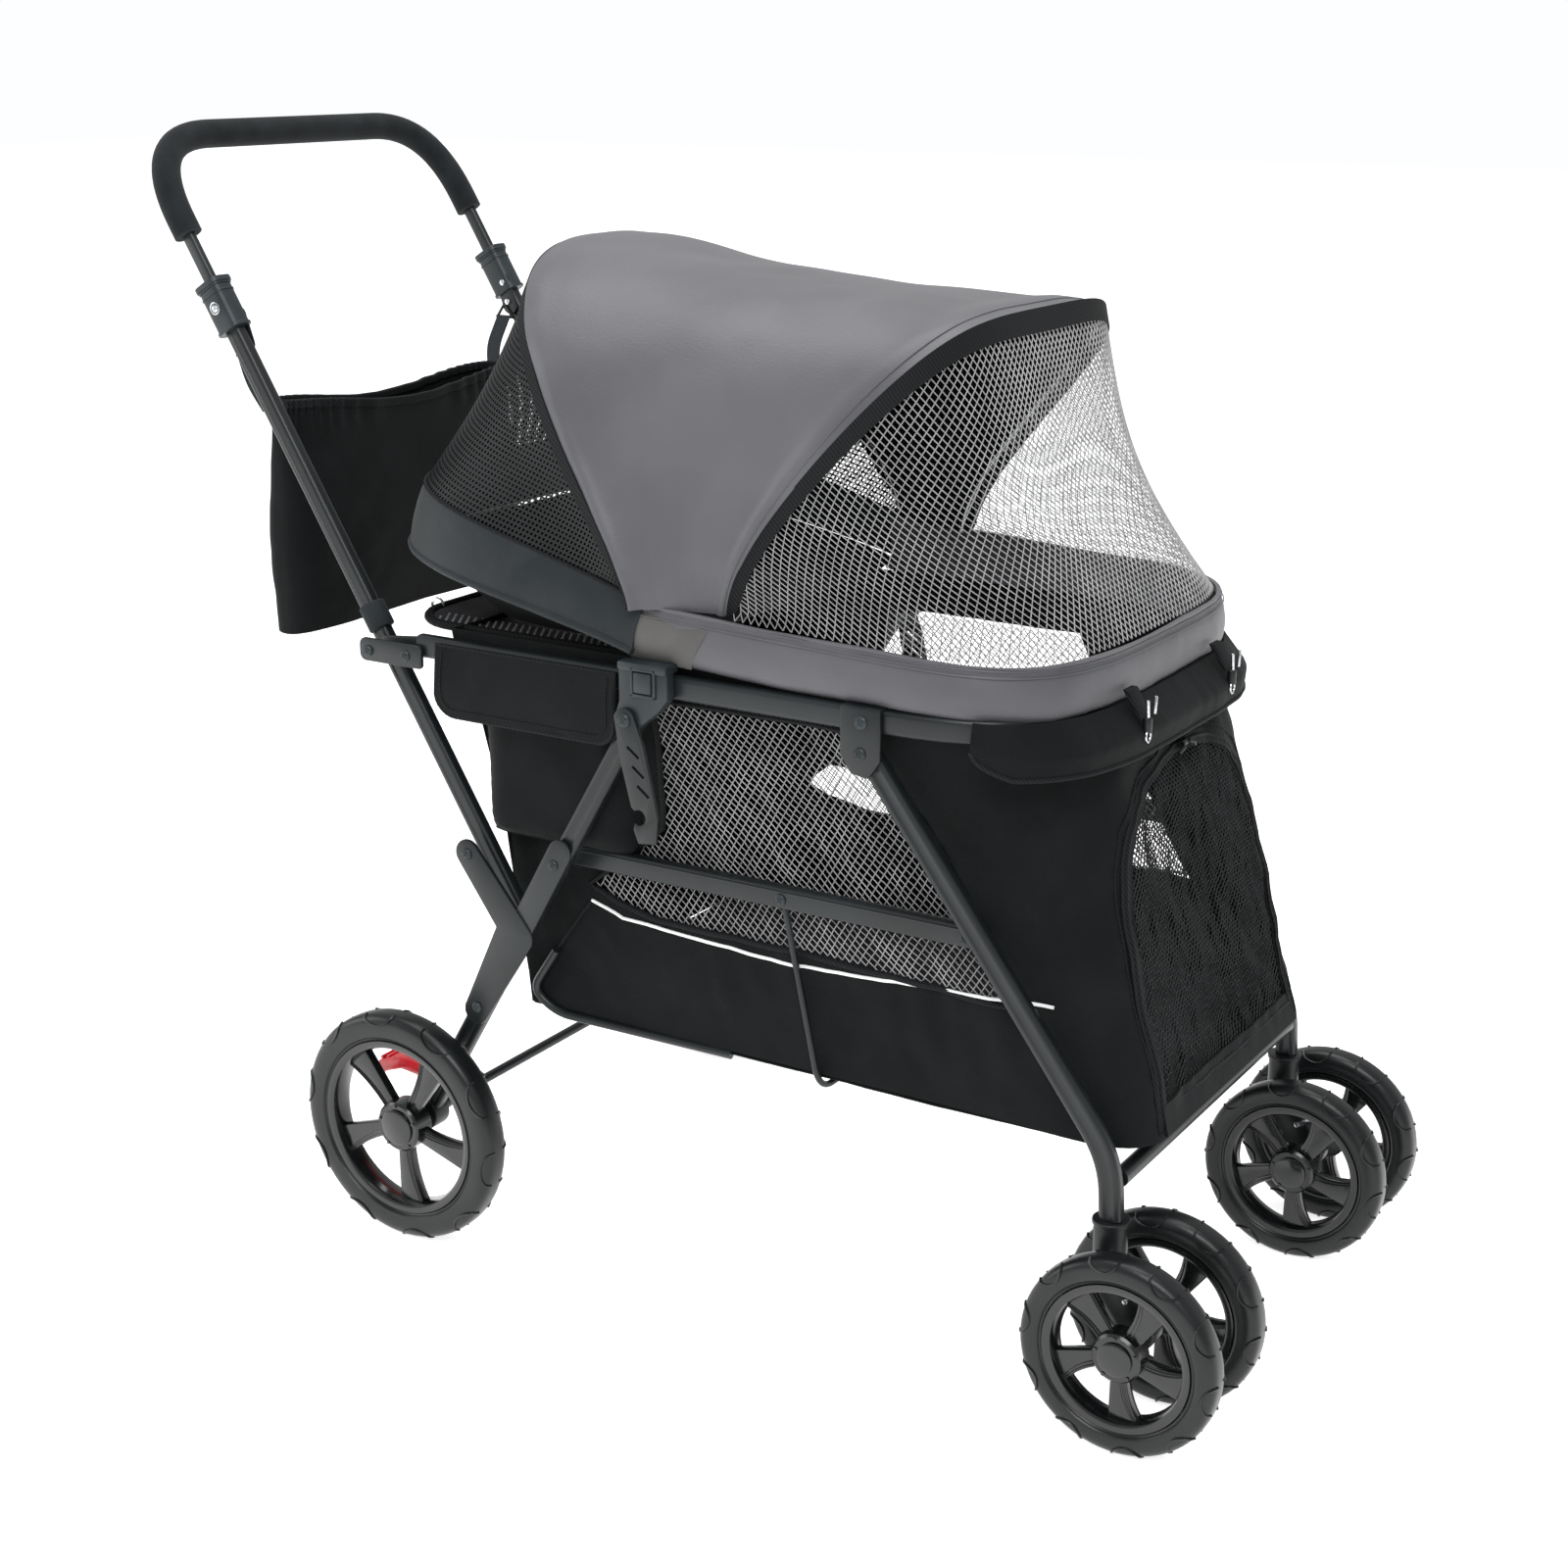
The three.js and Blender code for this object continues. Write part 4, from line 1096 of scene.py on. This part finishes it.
def make_cabin():
    levels = [FLOOR_Z + (CABIN_TOP - FLOOR_Z) * i / 17 for i in range(18)]
    right_edge = [(-around(cabin_rear(z), z), z) for z in levels]
    left_edge = [(-s, z) for s, z in right_edge[::-1]]
    windows = [side_loop(WINDOW, side) for side in (-1, 1)]
    walls = cut_cloth("cabin_walls", left_edge + right_edge, [*windows, door_loop()], cabin_cloth, 10, 1.2)
    pieces = [(walls, BLACK, "black_cloth", ["cabin_shell"])]
    for side, label in ((-1, "right"), (1, "left")):
        loop = side_loop(WINDOW, side)
        web = net("window_net_" + label, loop, cabin_lay(-1), 4.0, 4.5, 1.05)
        pieces.append((web, NET, "net", []))
        binding = seam("window_binding_" + label, loop, cabin_lay(1), ring(3, 8), True)
        pieces.append((binding, TAPE, "black_cloth", []))
        line = [(177, 356), (212, 345), (319, 341), (396, 337), (649, 352)]
        path = [(side * around(x, z), z) for x, z in stepped(line, 12, False)]
        piping = seam("piping_" + label, path, cabin_lay(1.5), ring(1.6, 8))
        pieces.append((piping, PIPING, "grey_cloth", []))
        line = stepped([(112, 268), (173, 350), (177, 356)], 12, False)
        lower = [(side * around(x, z), z) for x, z in line]
        side_seam = seam("side_seam_" + label, lower, cabin_lay(1.5), ring(1.6, 8))
        pieces.append((side_seam, TAPE, "black_cloth", []))
    door = net("door_mesh", door_loop(2), cabin_lay(-1), 2.8, 3.3, 1.3)
    pieces.append((door, MESH, "black_cloth", []))
    zips = {"tape": (7, oval(13, 1.4, 0.6)), "coil": (7, ring(2.2, 8)), "stitch": (16, ring(0.9, 6))}
    for name, (grow, section) in zips.items():
        line = seam("door_zip_" + name, stepped(door_loop(grow), 9), cabin_lay(1), section, True)
        pieces.append((line, TAPE, "black_cloth", []))
    strip = [(-150, 242), (150, 242), (150, 268), (-150, 268)]
    sill = cut_cloth("door_sill", strip, [], cabin_lay(2), 9, 2)
    pieces.append((sill, BLACK, "black_cloth", []))

    def back(u, v):
        z = FLOOR_Z + (CABIN_TOP - FLOOR_Z) * v
        x = cabin_rear(z) + rumple(u * 380, v * 335, 2.5, 80, 4)
        return spot(x, (2 * u - 1) * (cabin_plan(z)[1] - 1), z)

    def under(u, v):
        half = 188 - 26 * max(0, u * 628 - 590) / 38
        z = FLOOR_Z - 1 - 2 * math.sin(u * math.pi) + rumple(u * 600, v * 370, 1.2)
        return spot(106 + u * 628, (2 * v - 1) * half, z)

    rear = skin("cabin_back", back, 36, 30, 1.2)
    pieces.append((rear, BLACK, "black_cloth", []))
    floor = skin("cabin_underside", under, 60, 30, 1.6)
    pieces.append((floor, BLACK, "black_cloth", []))
    for piece, finish, slot, nodes in pieces:
        placed(piece, "frame", finish, slot, *nodes)
        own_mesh(piece)


def make_zip_slider():
    """A small slider with two cord pulls, at the top of the door's arch."""
    front = cabin_cloth(0, DOOR_TOP + 7, 4)
    across = Vector((0, 0.006, 0))
    body = rod("zip_body", front - across, front + across, 3.6, 16, 1)
    pulls = []
    for side in (-1, 1):
        bend = [(0.003, side * 0.006, 0.001), (0.006, side * 0.011, -0.001), (0.004, side * 0.017, -0.005)]
        path = [front + Vector(step) for step in bend]
        pulls.append(sweep("zip_pull", path, ring(1.8, 10), twist="MINIMUM"))
    placed(joined("zip_slider", [body, *pulls]), "frame", NYLON, "black_plastic")


def make_floor():
    """A board under a quilted pad that lies on it."""
    low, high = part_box("floor_board")
    deselect()
    bpy.ops.mesh.primitive_cube_add(size=1, location=[(a + b) / 2 for a, b in zip(low, high)])
    board = bpy.context.object
    board.name = "stiff_board"
    board.scale = [b - a for a, b in zip(low, high)]
    settle(board)
    modify(board, "BEVEL", width=2 * MM, segments=3)
    placed(settle(board), "floor", NYLON, "black_plastic", "floor_board")
    (x0, y0, z0), (x1, y1, z1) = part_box("floor_pad")
    deselect()
    bpy.ops.mesh.primitive_cube_add(size=1, location=((x0 + x1) / 2, 0, (z0 + z1) / 2))
    pad = bpy.context.object
    pad.name = "quilted_pad"
    pad.scale = (x1 - x0 - 0.01, y1 - y0 - 0.01, z1 - z0 - 0.006)
    settle(pad)
    modify(pad, "BEVEL", width=4 * MM, segments=3)
    modify(pad, "REMESH", mode="VOXEL", voxel_size=0.0055)
    inflate(pad, 3.5)
    for corner in pad.data.vertices:
        along, up = (corner.co.x - x0) / (x1 - x0), corner.co.z - (z0 + z1) / 2
        channel = max(0, 1 - abs(math.sin(along * math.pi * 5)) * 5)
        corner.co.z = min(max(corner.co.z - max(0, up) * 0.6 * channel, z0), z1)
    modify(pad, "SUBSURF", levels=1)
    placed(settle(pad, 60), "floor", SHELF, "black_cloth", "floor_pad")


def inflate(piece, cap):
    """Blows a cushion up as cloth, with no gravity, and caps how far a point may move, in millimetres."""
    rest = [corner.co.copy() for corner in piece.data.vertices]
    choose(piece)
    cloth = piece.modifiers.new("cloth", "CLOTH")
    cloth.settings.use_pressure = True
    cloth.settings.uniform_pressure_force = 4
    cloth.settings.effector_weights.gravity = 0
    for step in range(1, 21):
        bpy.context.scene.frame_set(step)
    bpy.ops.object.modifier_apply(modifier="cloth")
    bpy.context.scene.frame_set(1)
    for corner, start in zip(piece.data.vertices, rest):
        move = corner.co - start
        if move.length > cap * MM:
            corner.co = start + move.normalized() * cap * MM


RIM_LINE = hoop_line(227, 255, 652, 205, 3.9)
COLLAR_LINE = [point for point in hoop_line(230, 255, 668, 205, 3.9) if point[0] > 584]


def rim_height(x):
    """The rim's top edge, which falls a little to the front."""
    return 655 - 18 * min(1, max(0, (x - 255) / 400))


def rim_line(t, off=0.0):
    """A point of the rim in plan: t runs from the right rear end round the front to the left one."""
    return beside(RIM_LINE, t, off)


def make_rim():
    """The padded grey band round the cabin's mouth, the black collar below it and their bindings."""

    def band(u, v):
        swell = 5 * math.sin(math.pi * min(1, v * 1.15)) ** 0.7 - 9 * max(0, 0.14 - v) / 0.14
        x, y = rim_line(u, swell + rumple(u * 1500, v * 50, 1.0, 60, 2))
        return spot(x, y, rim_height(x) - 49 * (1 - v) + 0.8 * math.sin(u * 37))

    piece = skin("rim_band", band, 220, 16, 4)
    placed(piece, "frame", GREY, "grey_cloth", "hood_rim")
    for drop, off in ((3, 2.6), (8, 4.6)):
        line = [rim_line(i / 200, off) for i in range(201)]
        path = [spot(x, y, rim_height(x) - drop) for x, y in line]
        placed(sweep("rim_stitch_%d" % drop, path, ring(0.6, 6)), "frame", GREY, "grey_cloth")

    def corner(u, v):
        x = 256 + 62 * u + 26 * u * v
        y = -227 - 7.5 * math.sin(math.pi * min(1, v * 1.1)) ** 0.7
        return spot(x, y, rim_height(x) - 48 * (1 - v))

    for patch in pair(skin("rim_corner_patch_right", corner, 14, 12, 1.4), "frame", PATCH, "grey_cloth"):
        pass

    def collar(u, v):
        """It starts under the band, furthest in at the front, and flares out to clear the cabin's wall."""
        ahead = min(1, max(0, (beside(COLLAR_LINE, u)[0] - 600) / 52))
        flare = min(1, v * 1.8)
        off = (3 - 12 * ahead) * (1 - flare) + (8 + 3 * ahead) * flare
        x, y = beside(COLLAR_LINE, u, off + 2 * math.sin(math.pi * v) + rumple(u * 900, v * 40, 1.2, 70, 7))
        end = min(1, min(u, 1 - u) * 16)
        top = rim_height(x) - 44
        return spot(x, y, top - (top - COLLAR_Z) * v * (0.5 + 0.5 * end ** 0.5))

    piece = skin("collar_skirt", collar, 200, 12, 1.6)
    placed(piece, "frame", BLACK, "black_cloth")
    for share, reach in ((1, 2.6), (0.8, 0.8)):
        edge = [collar(i / 200, share) for i in range(201)]
        placed(sweep("collar_seam_%d" % (share * 10), edge, ring(reach, 8)), "frame", TAPE, "black_cloth")


def make_snap_hooks():
    """Small clips on cloth tabs, below the front of the rim: two bright prongs, a black body and a ring."""
    x, y, z = 679, -92, 592
    slope = [(x - 19, z + 14), (x - 4, z - 9), (x, z - 9), (x - 13, z + 14)]
    tab = plate("clip_tab_right", slope, y - 9, y + 9, 0.8)
    pair(tab, "frame", TAPE, "black_cloth")
    body = rod("clip_body", spot(x + 1, y, z - 9), spot(x + 1, y, z - 22), 4, 16, 1)
    pair(joined("clip_body_right", [body]), "frame", NYLON, "black_plastic")
    prongs = []
    for side in (-1, 1):
        top, tip = spot(x + 4, y + side * 8.5, z + 8), spot(x + 4, y + side * 6.5, z - 7)
        prongs.append(rod("clip_prong", top, tip, 1.5, 10, 0.5))
    turns = [FULL_TURN * i / 20 for i in range(20)]
    loop = [spot(x + 2, y + 4.5 * math.cos(a), z - 25 + 5 * math.sin(a)) for a in turns]
    eye = sweep("clip_ring", loop, ring(1.1, 8), True, "MINIMUM")
    pair(joined("clip_prongs_right", [*prongs, eye]), "frame", CHROME, "bare_steel")


# ---------- rear shelf, pockets and bag ----------
def make_shelf():
    """The shelf behind the cabin: perforated cloth held out by a round bead."""
    low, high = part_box("rear_tray")
    x0, x1 = (low[0] - AXLE_X) / MM, (high[0] - AXLE_X) / MM
    half, corner = high[1] / MM, 60
    bends = [math.pi / 2 * i / 8 for i in range(9)]
    left = [(x1, half), (x0 + corner, half)]
    left += [(x0 + corner * (1 - math.sin(a)), half - corner * (1 - math.cos(a))) for a in bends]
    outline = left + [(x, -y) for x, y in left[::-1]]

    def lay(x, y, lift=0.0):
        sag = 4 * math.sin(math.pi * (x - x0) / (x1 - x0)) * math.cos(math.pi * y / 2 / half)
        return spot(x, y, 598 - sag + rumple(x, y, 1.0, 50) + lift)

    cloth = cut_cloth("shelf_cloth", outline, [], lay, 11, 2)
    placed(cloth, "frame", SHELF, "grey_cloth", "rear_tray")
    path = [spot(x, y, 599) for x, y in stepped(outline, 8, False)]
    placed(sweep("shelf_bead", path, ring(4.2, 12)), "frame", TAPE, "black_cloth")
    start = lay(x0, 0)
    dot = rod("shelf_hole", start, start + Vector((0, 0, 0.0014)), 1.3, 6)
    dots = []
    for row in range(5):
        for i in range(31 - row):
            for side in (-1, 1):
                place = lay(x0 + 26 + 8 * i + 4 * (row % 2), side * (half - 12 - 6.5 * row), 0.9)
                dots.append(copied(dot, "shelf_hole", Matrix.Translation(place - start)))
    bpy.data.objects.remove(dot)
    placed(joined("shelf_holes", dots), "frame", NET, "grey_cloth")
    turns = [FULL_TURN * i / 20 for i in range(20)]
    loop = [spot(x0 - 3 + 7 * math.cos(a), -140, 600 + 7 * math.sin(a)) for a in turns]
    ring_pair = sweep("shelf_ring_right", loop, ring(1.4, 8), True, "MINIMUM")
    pair(ring_pair, "frame", CHROME, "bare_steel")


def pocket_outline(x0, x1, z0, z1, corner):
    return (
        [(x0, z1)]
        + arc(x0 + corner, z0 + corner, corner, 180, 270, 6)
        + arc(x1 - corner, z0 + corner, corner, 270, 360, 6)
        + [(x1, z1)]
    )


def make_pockets():
    """A soft box on each side of the cabin, closed by a bound flap."""
    body = pocket_outline(70, 236, 410, 586, 16)

    def lay_body(x, z):
        edge = min(1, max(0, min(x - 70, 236 - x) / 22)) ** 0.5 * min(1, max(0, (z - 410) / 16)) ** 0.5
        return spot(x, -192 - 22 * edge - rumple(x, z, 1.6, 55, 3), z)

    soft = cut_cloth("pocket_box_right", body, [], lay_body, 7, 1.4)
    for piece in pair(soft, "frame", BLACK, "black_cloth"):
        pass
    line = [lay_body(x, z) for x, z in stepped([(74, 412), (232, 412)], 8, False)]
    pair(sweep("pocket_seam_right", line, ring(1.6, 8)), "frame", TAPE, "black_cloth")
    flap = pocket_outline(45, 244, 527, 592, 20)

    def lay_flap(x, z):
        drop = (592 - z) / 65
        return spot(x, -236 - 5 * math.sin(math.pi * min(1, drop * 0.9)) - rumple(x, z, 1.0, 45, 8), z)

    cloth = cut_cloth("flap_cloth_right", flap, [], lay_flap, 7, 3)
    for piece in pair(cloth, "pocket_flap_right", BLACK, "black_cloth", "pocket_flap_right"):
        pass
    binding = seam("flap_binding_right", flap, lay_flap, ring(2.2, 8), True)
    pair(binding, "pocket_flap_right", TAPE, "black_cloth")
    inner = stepped(pocket_outline(52, 237, 534, 588, 15), 8, False)

    def lay_stitch(x, z):
        return lay_flap(x, z) - Vector((0, 0.0018, 0))

    stitched = seam("flap_stitch_right", inner, lay_stitch, ring(0.6, 6))
    pair(stitched, "pocket_flap_right", TAPE, "black_cloth")


def make_bag():
    """The bag behind the handle: a shell that sags, with an elastic hem and two straps to the tubes."""

    def wall(u, v):
        turn = FULL_TURN * u
        fill = 1 - 0.25 * v ** 2
        half = 176 - 8 * v + 10 * math.sin(math.pi * v) * 0.4
        depth = (30 + 6 * math.sin(math.pi * min(1, v * 1.2))) * fill
        c, s = math.cos(turn), math.sin(turn)
        y = half * math.copysign(abs(c) ** 0.45, c)
        x = -197 + depth * math.copysign(abs(s) ** 0.7, s)
        gather = 1.6 * math.sin(turn * 46) * max(0, v - 0.86) / 0.14
        top = 783 - 14 * math.cos(math.pi * y / 2 / half) ** 2
        z = 559 + (top - 559) * v + (6 * (1 - abs(y) / half) ** 0.5 * (1 - v) ** 6)
        fold = rumple(y, z, 3.5, 70, turn > math.pi) * math.sin(math.pi * min(1, v + 0.15))
        return spot(x + fold + gather, y, z)

    shell = skin("bag_shell", wall, 240, 40, 1.4)
    placed(shell, "handle_lower", BLACK, "black_cloth", "rear_bag")

    def base(u, v):
        rim_point = wall(u, 0)
        middle = spot(-197, 0, 557)
        inner = middle + (rim_point - middle) * (1 - v)
        return Vector((inner.x, rim_point.y * (1 - v), rim_point.z * (1 - v) + 0.556 * v))

    floor = placed(skin("bag_base", base, 120, 8, 1.4), "handle_lower", BLACK, "black_cloth")
    hem = [wall(i / 240, 1) for i in range(240)]
    placed(sweep("bag_hem", hem, oval(9, 4.5, 2), True), "handle_lower", TAPE, "black_cloth")
    z = 857
    x = HANDLE_PIVOT[0] + HANDLE_DIR.x / HANDLE_DIR.z * (z - HANDLE_PIVOT[1])
    inner = -HANDLE_Y + 7.5
    cheek = plate("strap_clamp_right", stadium((x - 2, z + 12), (x + 7, z - 14), 18), inner, inner + 2, 0.6)
    bar = rod("strap_bar", spot(x - 10, inner + 3, z - 26), spot(x + 12, inner + 3, z - 26), 1.7, 10)
    wires = [
        rod("strap_wire", spot(x + 1, inner + 3, z - 12), spot(x + side, inner + 3, z - 26), 1.5, 8)
        for side in (-9, 11)
    ]
    pair(joined("strap_clamp_right", [cheek, bar, *wires]), "handle_lower", STEEL, "painted_frame")
    heads = [
        rod("strap_rivet", spot(x + dx, inner, z + dz), spot(x + dx, inner + 4.5, z + dz), 3.4, 14, 1)
        for dx, dz in ((-1, 10), (5, -10))
    ]
    pair(joined("strap_rivets_right", heads), "handle_lower", CHROME, "bare_steel")
    line = bent([spot(x + 1, inner + 5, z - 25), spot(x - 4, -180, z - 56), spot(-203, -170, 775)], 14)

    def strap(u, v):
        place = v * (len(line) - 1)
        i = min(int(place), len(line) - 2)
        return line[i].lerp(line[i + 1], place - i) + Vector(((u - 0.5) * 20 * MM, (u - 0.5) * 5 * MM, 0))

    pair(skin("bag_strap_right", strap, 4, 24, 1.6), "handle_lower", WEBBING, "black_cloth")
    low_end = spot(-44, -HANDLE_Y, 590)
    wrap = rod("lower_strap_right", low_end, low_end + HANDLE_DIR * 26 * MM, 12.5, 24, 2)
    pair(wrap, "handle_lower", WEBBING, "black_cloth")


# ---------- hood ----------
BOWS = {
    "front_bow": {"half": 211, "reach": 335, "tilt": 47, "power": 4.2, "drift": 46, "drop": 0},
    "rear_bow": {"half": 238, "reach": 372, "tilt": 130, "power": 2.4, "drift": -38, "drop": 0},
    "band_top": {"half": 227, "reach": 339, "tilt": 166.6, "power": 5, "drift": -30, "drop": 4},
    "band_foot": {"half": 236, "reach": 357, "tilt": 169.9, "power": 4.6, "drift": -38, "drop": -38},
}


ARCHES = {name: even_arch(shape["half"], shape["reach"], shape["power"]) for name, shape in BOWS.items()}
RIM_ARCH = even_arch(225, 222, 3.9)


def bow(name, u, grow=0.0):
    """A point of a hood bow: u runs from its right foot over the top to its left one."""
    shape = BOWS[name]
    across, reach = beside(ARCHES[name], u, -grow)
    a = math.radians(shape["tilt"])
    drift = shape["drift"] * math.exp(-max(0, reach) / 70)
    return spot(
        HOOD_PIVOT[0] + reach * math.cos(a) + drift,
        across,
        HOOD_PIVOT[1] + 4 + reach * math.sin(a) + shape["drop"],
    )


def rim_top(u):
    """The foot of the front net on the rim: u runs from its right end round the front to its left one."""
    across, ahead = beside(RIM_ARCH, u)
    x = HOOD_PIVOT[0] + 56 + (426 - HOOD_PIVOT[0] - 56) * min(1, ahead / 40) + ahead
    return spot(x, across, rim_height(x) + 1)


def outward(point):
    """The direction out of the hood at a point, away from a middle near its pivots."""
    run = point - spot(HOOD_PIVOT[0], 0, 690)
    return run.normalized()


def canopy(u, v, off=0.0):
    """The grey panel: v runs from the rear bow to the front one."""
    point = bow("rear_bow", u, 3).lerp(bow("front_bow", u, 3), v)
    crown = 10 * math.exp(-((v - 0.12) / 0.1) ** 2) * math.sin(math.pi * u) ** 2
    roll = 3.5 * math.exp(-((v - 0.94) / 0.03) ** 2) + 2.5 * math.exp(-((v - 0.04) / 0.03) ** 2)
    sag = -5 * math.sin(math.pi * v) + rumple(u * 900, v * 400, 3, 160, 5)
    return point + outward(point) * (crown + roll + sag + off) * MM


def front_net(u, v, off=0.0):
    """The net panel: v runs from the front bow to the rim, and its front is drawn in."""
    point = bow("front_bow", u, 3).lerp(rim_top(u), v)
    pull = -20 * math.sin(math.pi * v) * (0.2 + 0.8 * math.sin(math.pi * u))
    return point + outward(point) * (pull + off) * MM


def rear_net(u, v, off=0.0):
    """The dark mesh: v runs from the rear bow to the top of the rear band."""
    point = bow("rear_bow", u, 3).lerp(bow("band_top", u), v)
    return point + outward(point) * (off - 6 * math.sin(math.pi * v) * math.sin(math.pi * u)) * MM


def rear_band(u, v, off=0.0):
    """The slate band below the dark mesh: v runs from its top to its foot."""
    point = bow("band_top", u).lerp(bow("band_foot", u), v)
    out = Vector((point.x - spot(250, 0, 0).x, point.y, 0)).normalized()
    return point + out * (3 * math.sin(math.pi * v) + rumple(u * 800, v * 60, 1.2, 80, 6) + off) * MM


def panel_height(surface, u):
    """How far a panel runs from its first edge to its second, in millimetres."""
    return (surface(u, 0) - surface(u, 1)).length / MM


NET_ROWS = {}


def level_row(rise):
    """Half of the net's row at a height over the rim, from the middle of the front to the left.

    It comes as its points and how far along each one is. Rows are kept, because each knot asks again.
    """
    if rise not in NET_ROWS:
        line = []
        for i in range(161):
            u = 0.5 + 0.5 * i / 160
            share = 1 - rise * MM / max(0.001, bow("front_bow", u, 3).z - rim_top(u).z)
            if share >= 0:
                line.append(front_net(u, share))
        run = [0.0]
        for a, b in zip(line, line[1:]):
            run.append(run[-1] + (b - a).length / MM)
        NET_ROWS[rise] = (line, run)
    return NET_ROWS[rise]


def on_front_net(s, rise):
    """A point of the net, s millimetres round from the middle of the front and so high over the rim."""
    line, run = level_row(rise)
    i = 0
    while i < len(run) - 2 and run[i + 1] < abs(s):
        i += 1
    point = line[i].lerp(line[i + 1], (abs(s) - run[i]) / (run[i + 1] - run[i]))
    return Vector((point.x, math.copysign(point.y, s), point.z))


def make_hood():
    for name in ("front_bow", "rear_bow"):
        path = [bow(name, i / 90, -2) for i in range(91)]
        placed(sweep(name + "_rod", path, ring(2.5, 12), twist="MINIMUM"), name, CHROME, "bare_steel", name)
    make_canopy()
    make_front_net()
    make_rear_mesh()
    make_rear_band()


def make_canopy():
    panel = placed(skin("canopy_panel", canopy, 150, 60, 2.2), None, GREY, "grey_cloth", "hood_panel")
    bow("front_bow", 0.5)
    bow("rear_bow", 0.5)
    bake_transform(panel)

    lining = skin("canopy_lining", lambda u, v: canopy(u, 0.01 + 0.97 * v, -4), 110, 40, 0.8)
    placed(lining, None, BLACK, "black_cloth")
    bow("front_bow", 0.5)
    bow("rear_bow", 0.5)
    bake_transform(lining)

    def front_edge(u, v):
        wide = (12 + 7 * math.sin(math.pi * u) ** 3) / max(30, panel_height(front_net, u))
        return front_net(u, wide * v - 0.004, 1.5)

    def rear_edge(u, v):
        return rear_net(u, 0.002 + v * 12 / max(40, panel_height(rear_net, u)), 2.5)

    placed(skin("canopy_front_binding", front_edge, 160, 5, 1.6), "front_bow", TAPE, "black_cloth")
    placed(skin("canopy_rear_binding", rear_edge, 160, 4, 2.4), "rear_bow", TAPE, "black_cloth")
    seam_line = [canopy(i / 160, 0.965, 1.6) for i in range(161)]
    placed(sweep("canopy_seam", seam_line, ring(0.7, 6), twist="MINIMUM"), "front_bow", GREY, "grey_cloth")


def make_front_net():
    top = bow("front_bow", 0.5, 3).z - rim_top(0.5).z
    left = []
    for i in range(49):
        rise = top / MM * 0.985 * i / 48
        left.append((level_row(rise)[1][-1], rise))
    outline = left + [(-s, rise) for s, rise in left[::-1]]
    web = net("hood_net_web", outline, on_front_net, 4.0, 4.5, 1.0)
    placed(web, None, NET, "net", "hood_net")
    rim_top(0.5)
    bow("front_bow", 0.5)
    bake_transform(web)


def make_rear_mesh():
    """Square netting from the rear bow down to the rear band; its rows run level with the band."""
    wide = 1040

    def lay(x, rise):
        u = x / wide
        return rear_net(u, 1 - rise / max(1, panel_height(rear_net, u)))

    edge = [(wide * i / 60, panel_height(rear_net, i / 60)) for i in range(61)]
    outline = [(wide, 0), (0, 0), *edge]
    dark = net("hood_rear_mesh", outline, lay, 5.0, 5.0, 2.1, square=True)
    placed(dark, None, MESH, "black_cloth", "hood_mesh")
    bow("rear_bow", 0.5)
    bow("band_top", 0.5)
    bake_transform(dark)


def make_rear_band():
    band = skin("hood_rear_band", rear_band, 150, 12, 3)
    placed(band, "rear_hoop", BAND, "slate_plastic", "rear_hoop")
    for share, off, radius, finish in ((1, 0.5, 3.4, BAND), (0, 1.5, 1.6, TAPE)):
        line = [rear_band(i / 150, share, off) for i in range(151)]
        piece = sweep("band_edge_%d" % share, line, ring(radius, 10), twist="MINIMUM")
        placed(piece, "rear_hoop", finish, "slate_plastic")
    foot = even_arch(158, 262, 4.0)

    def skirt(u, v):
        across, reach = beside(foot, u)
        low = spot(262 - reach, across, 600)
        return bow("band_foot", u, -13).lerp(low, v)

    inner = skin("hood_inner_skirt", skirt, 120, 8, 1.4)
    placed(inner, "frame", BLACK, "black_cloth")
    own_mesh(inner)


make_studio()
make_wheels()
make_top_rail()
make_hinge_plates()
make_latches()
make_rear_legs()
make_brake_pedals()
make_elbows()
make_front_legs()
make_side_bars()
make_floor_hoops()
make_casters()
make_handle()
make_cabin()
make_zip_slider()
make_floor()
make_rim()
make_snap_hooks()
make_shelf()
make_pockets()
make_bag()
make_hood()
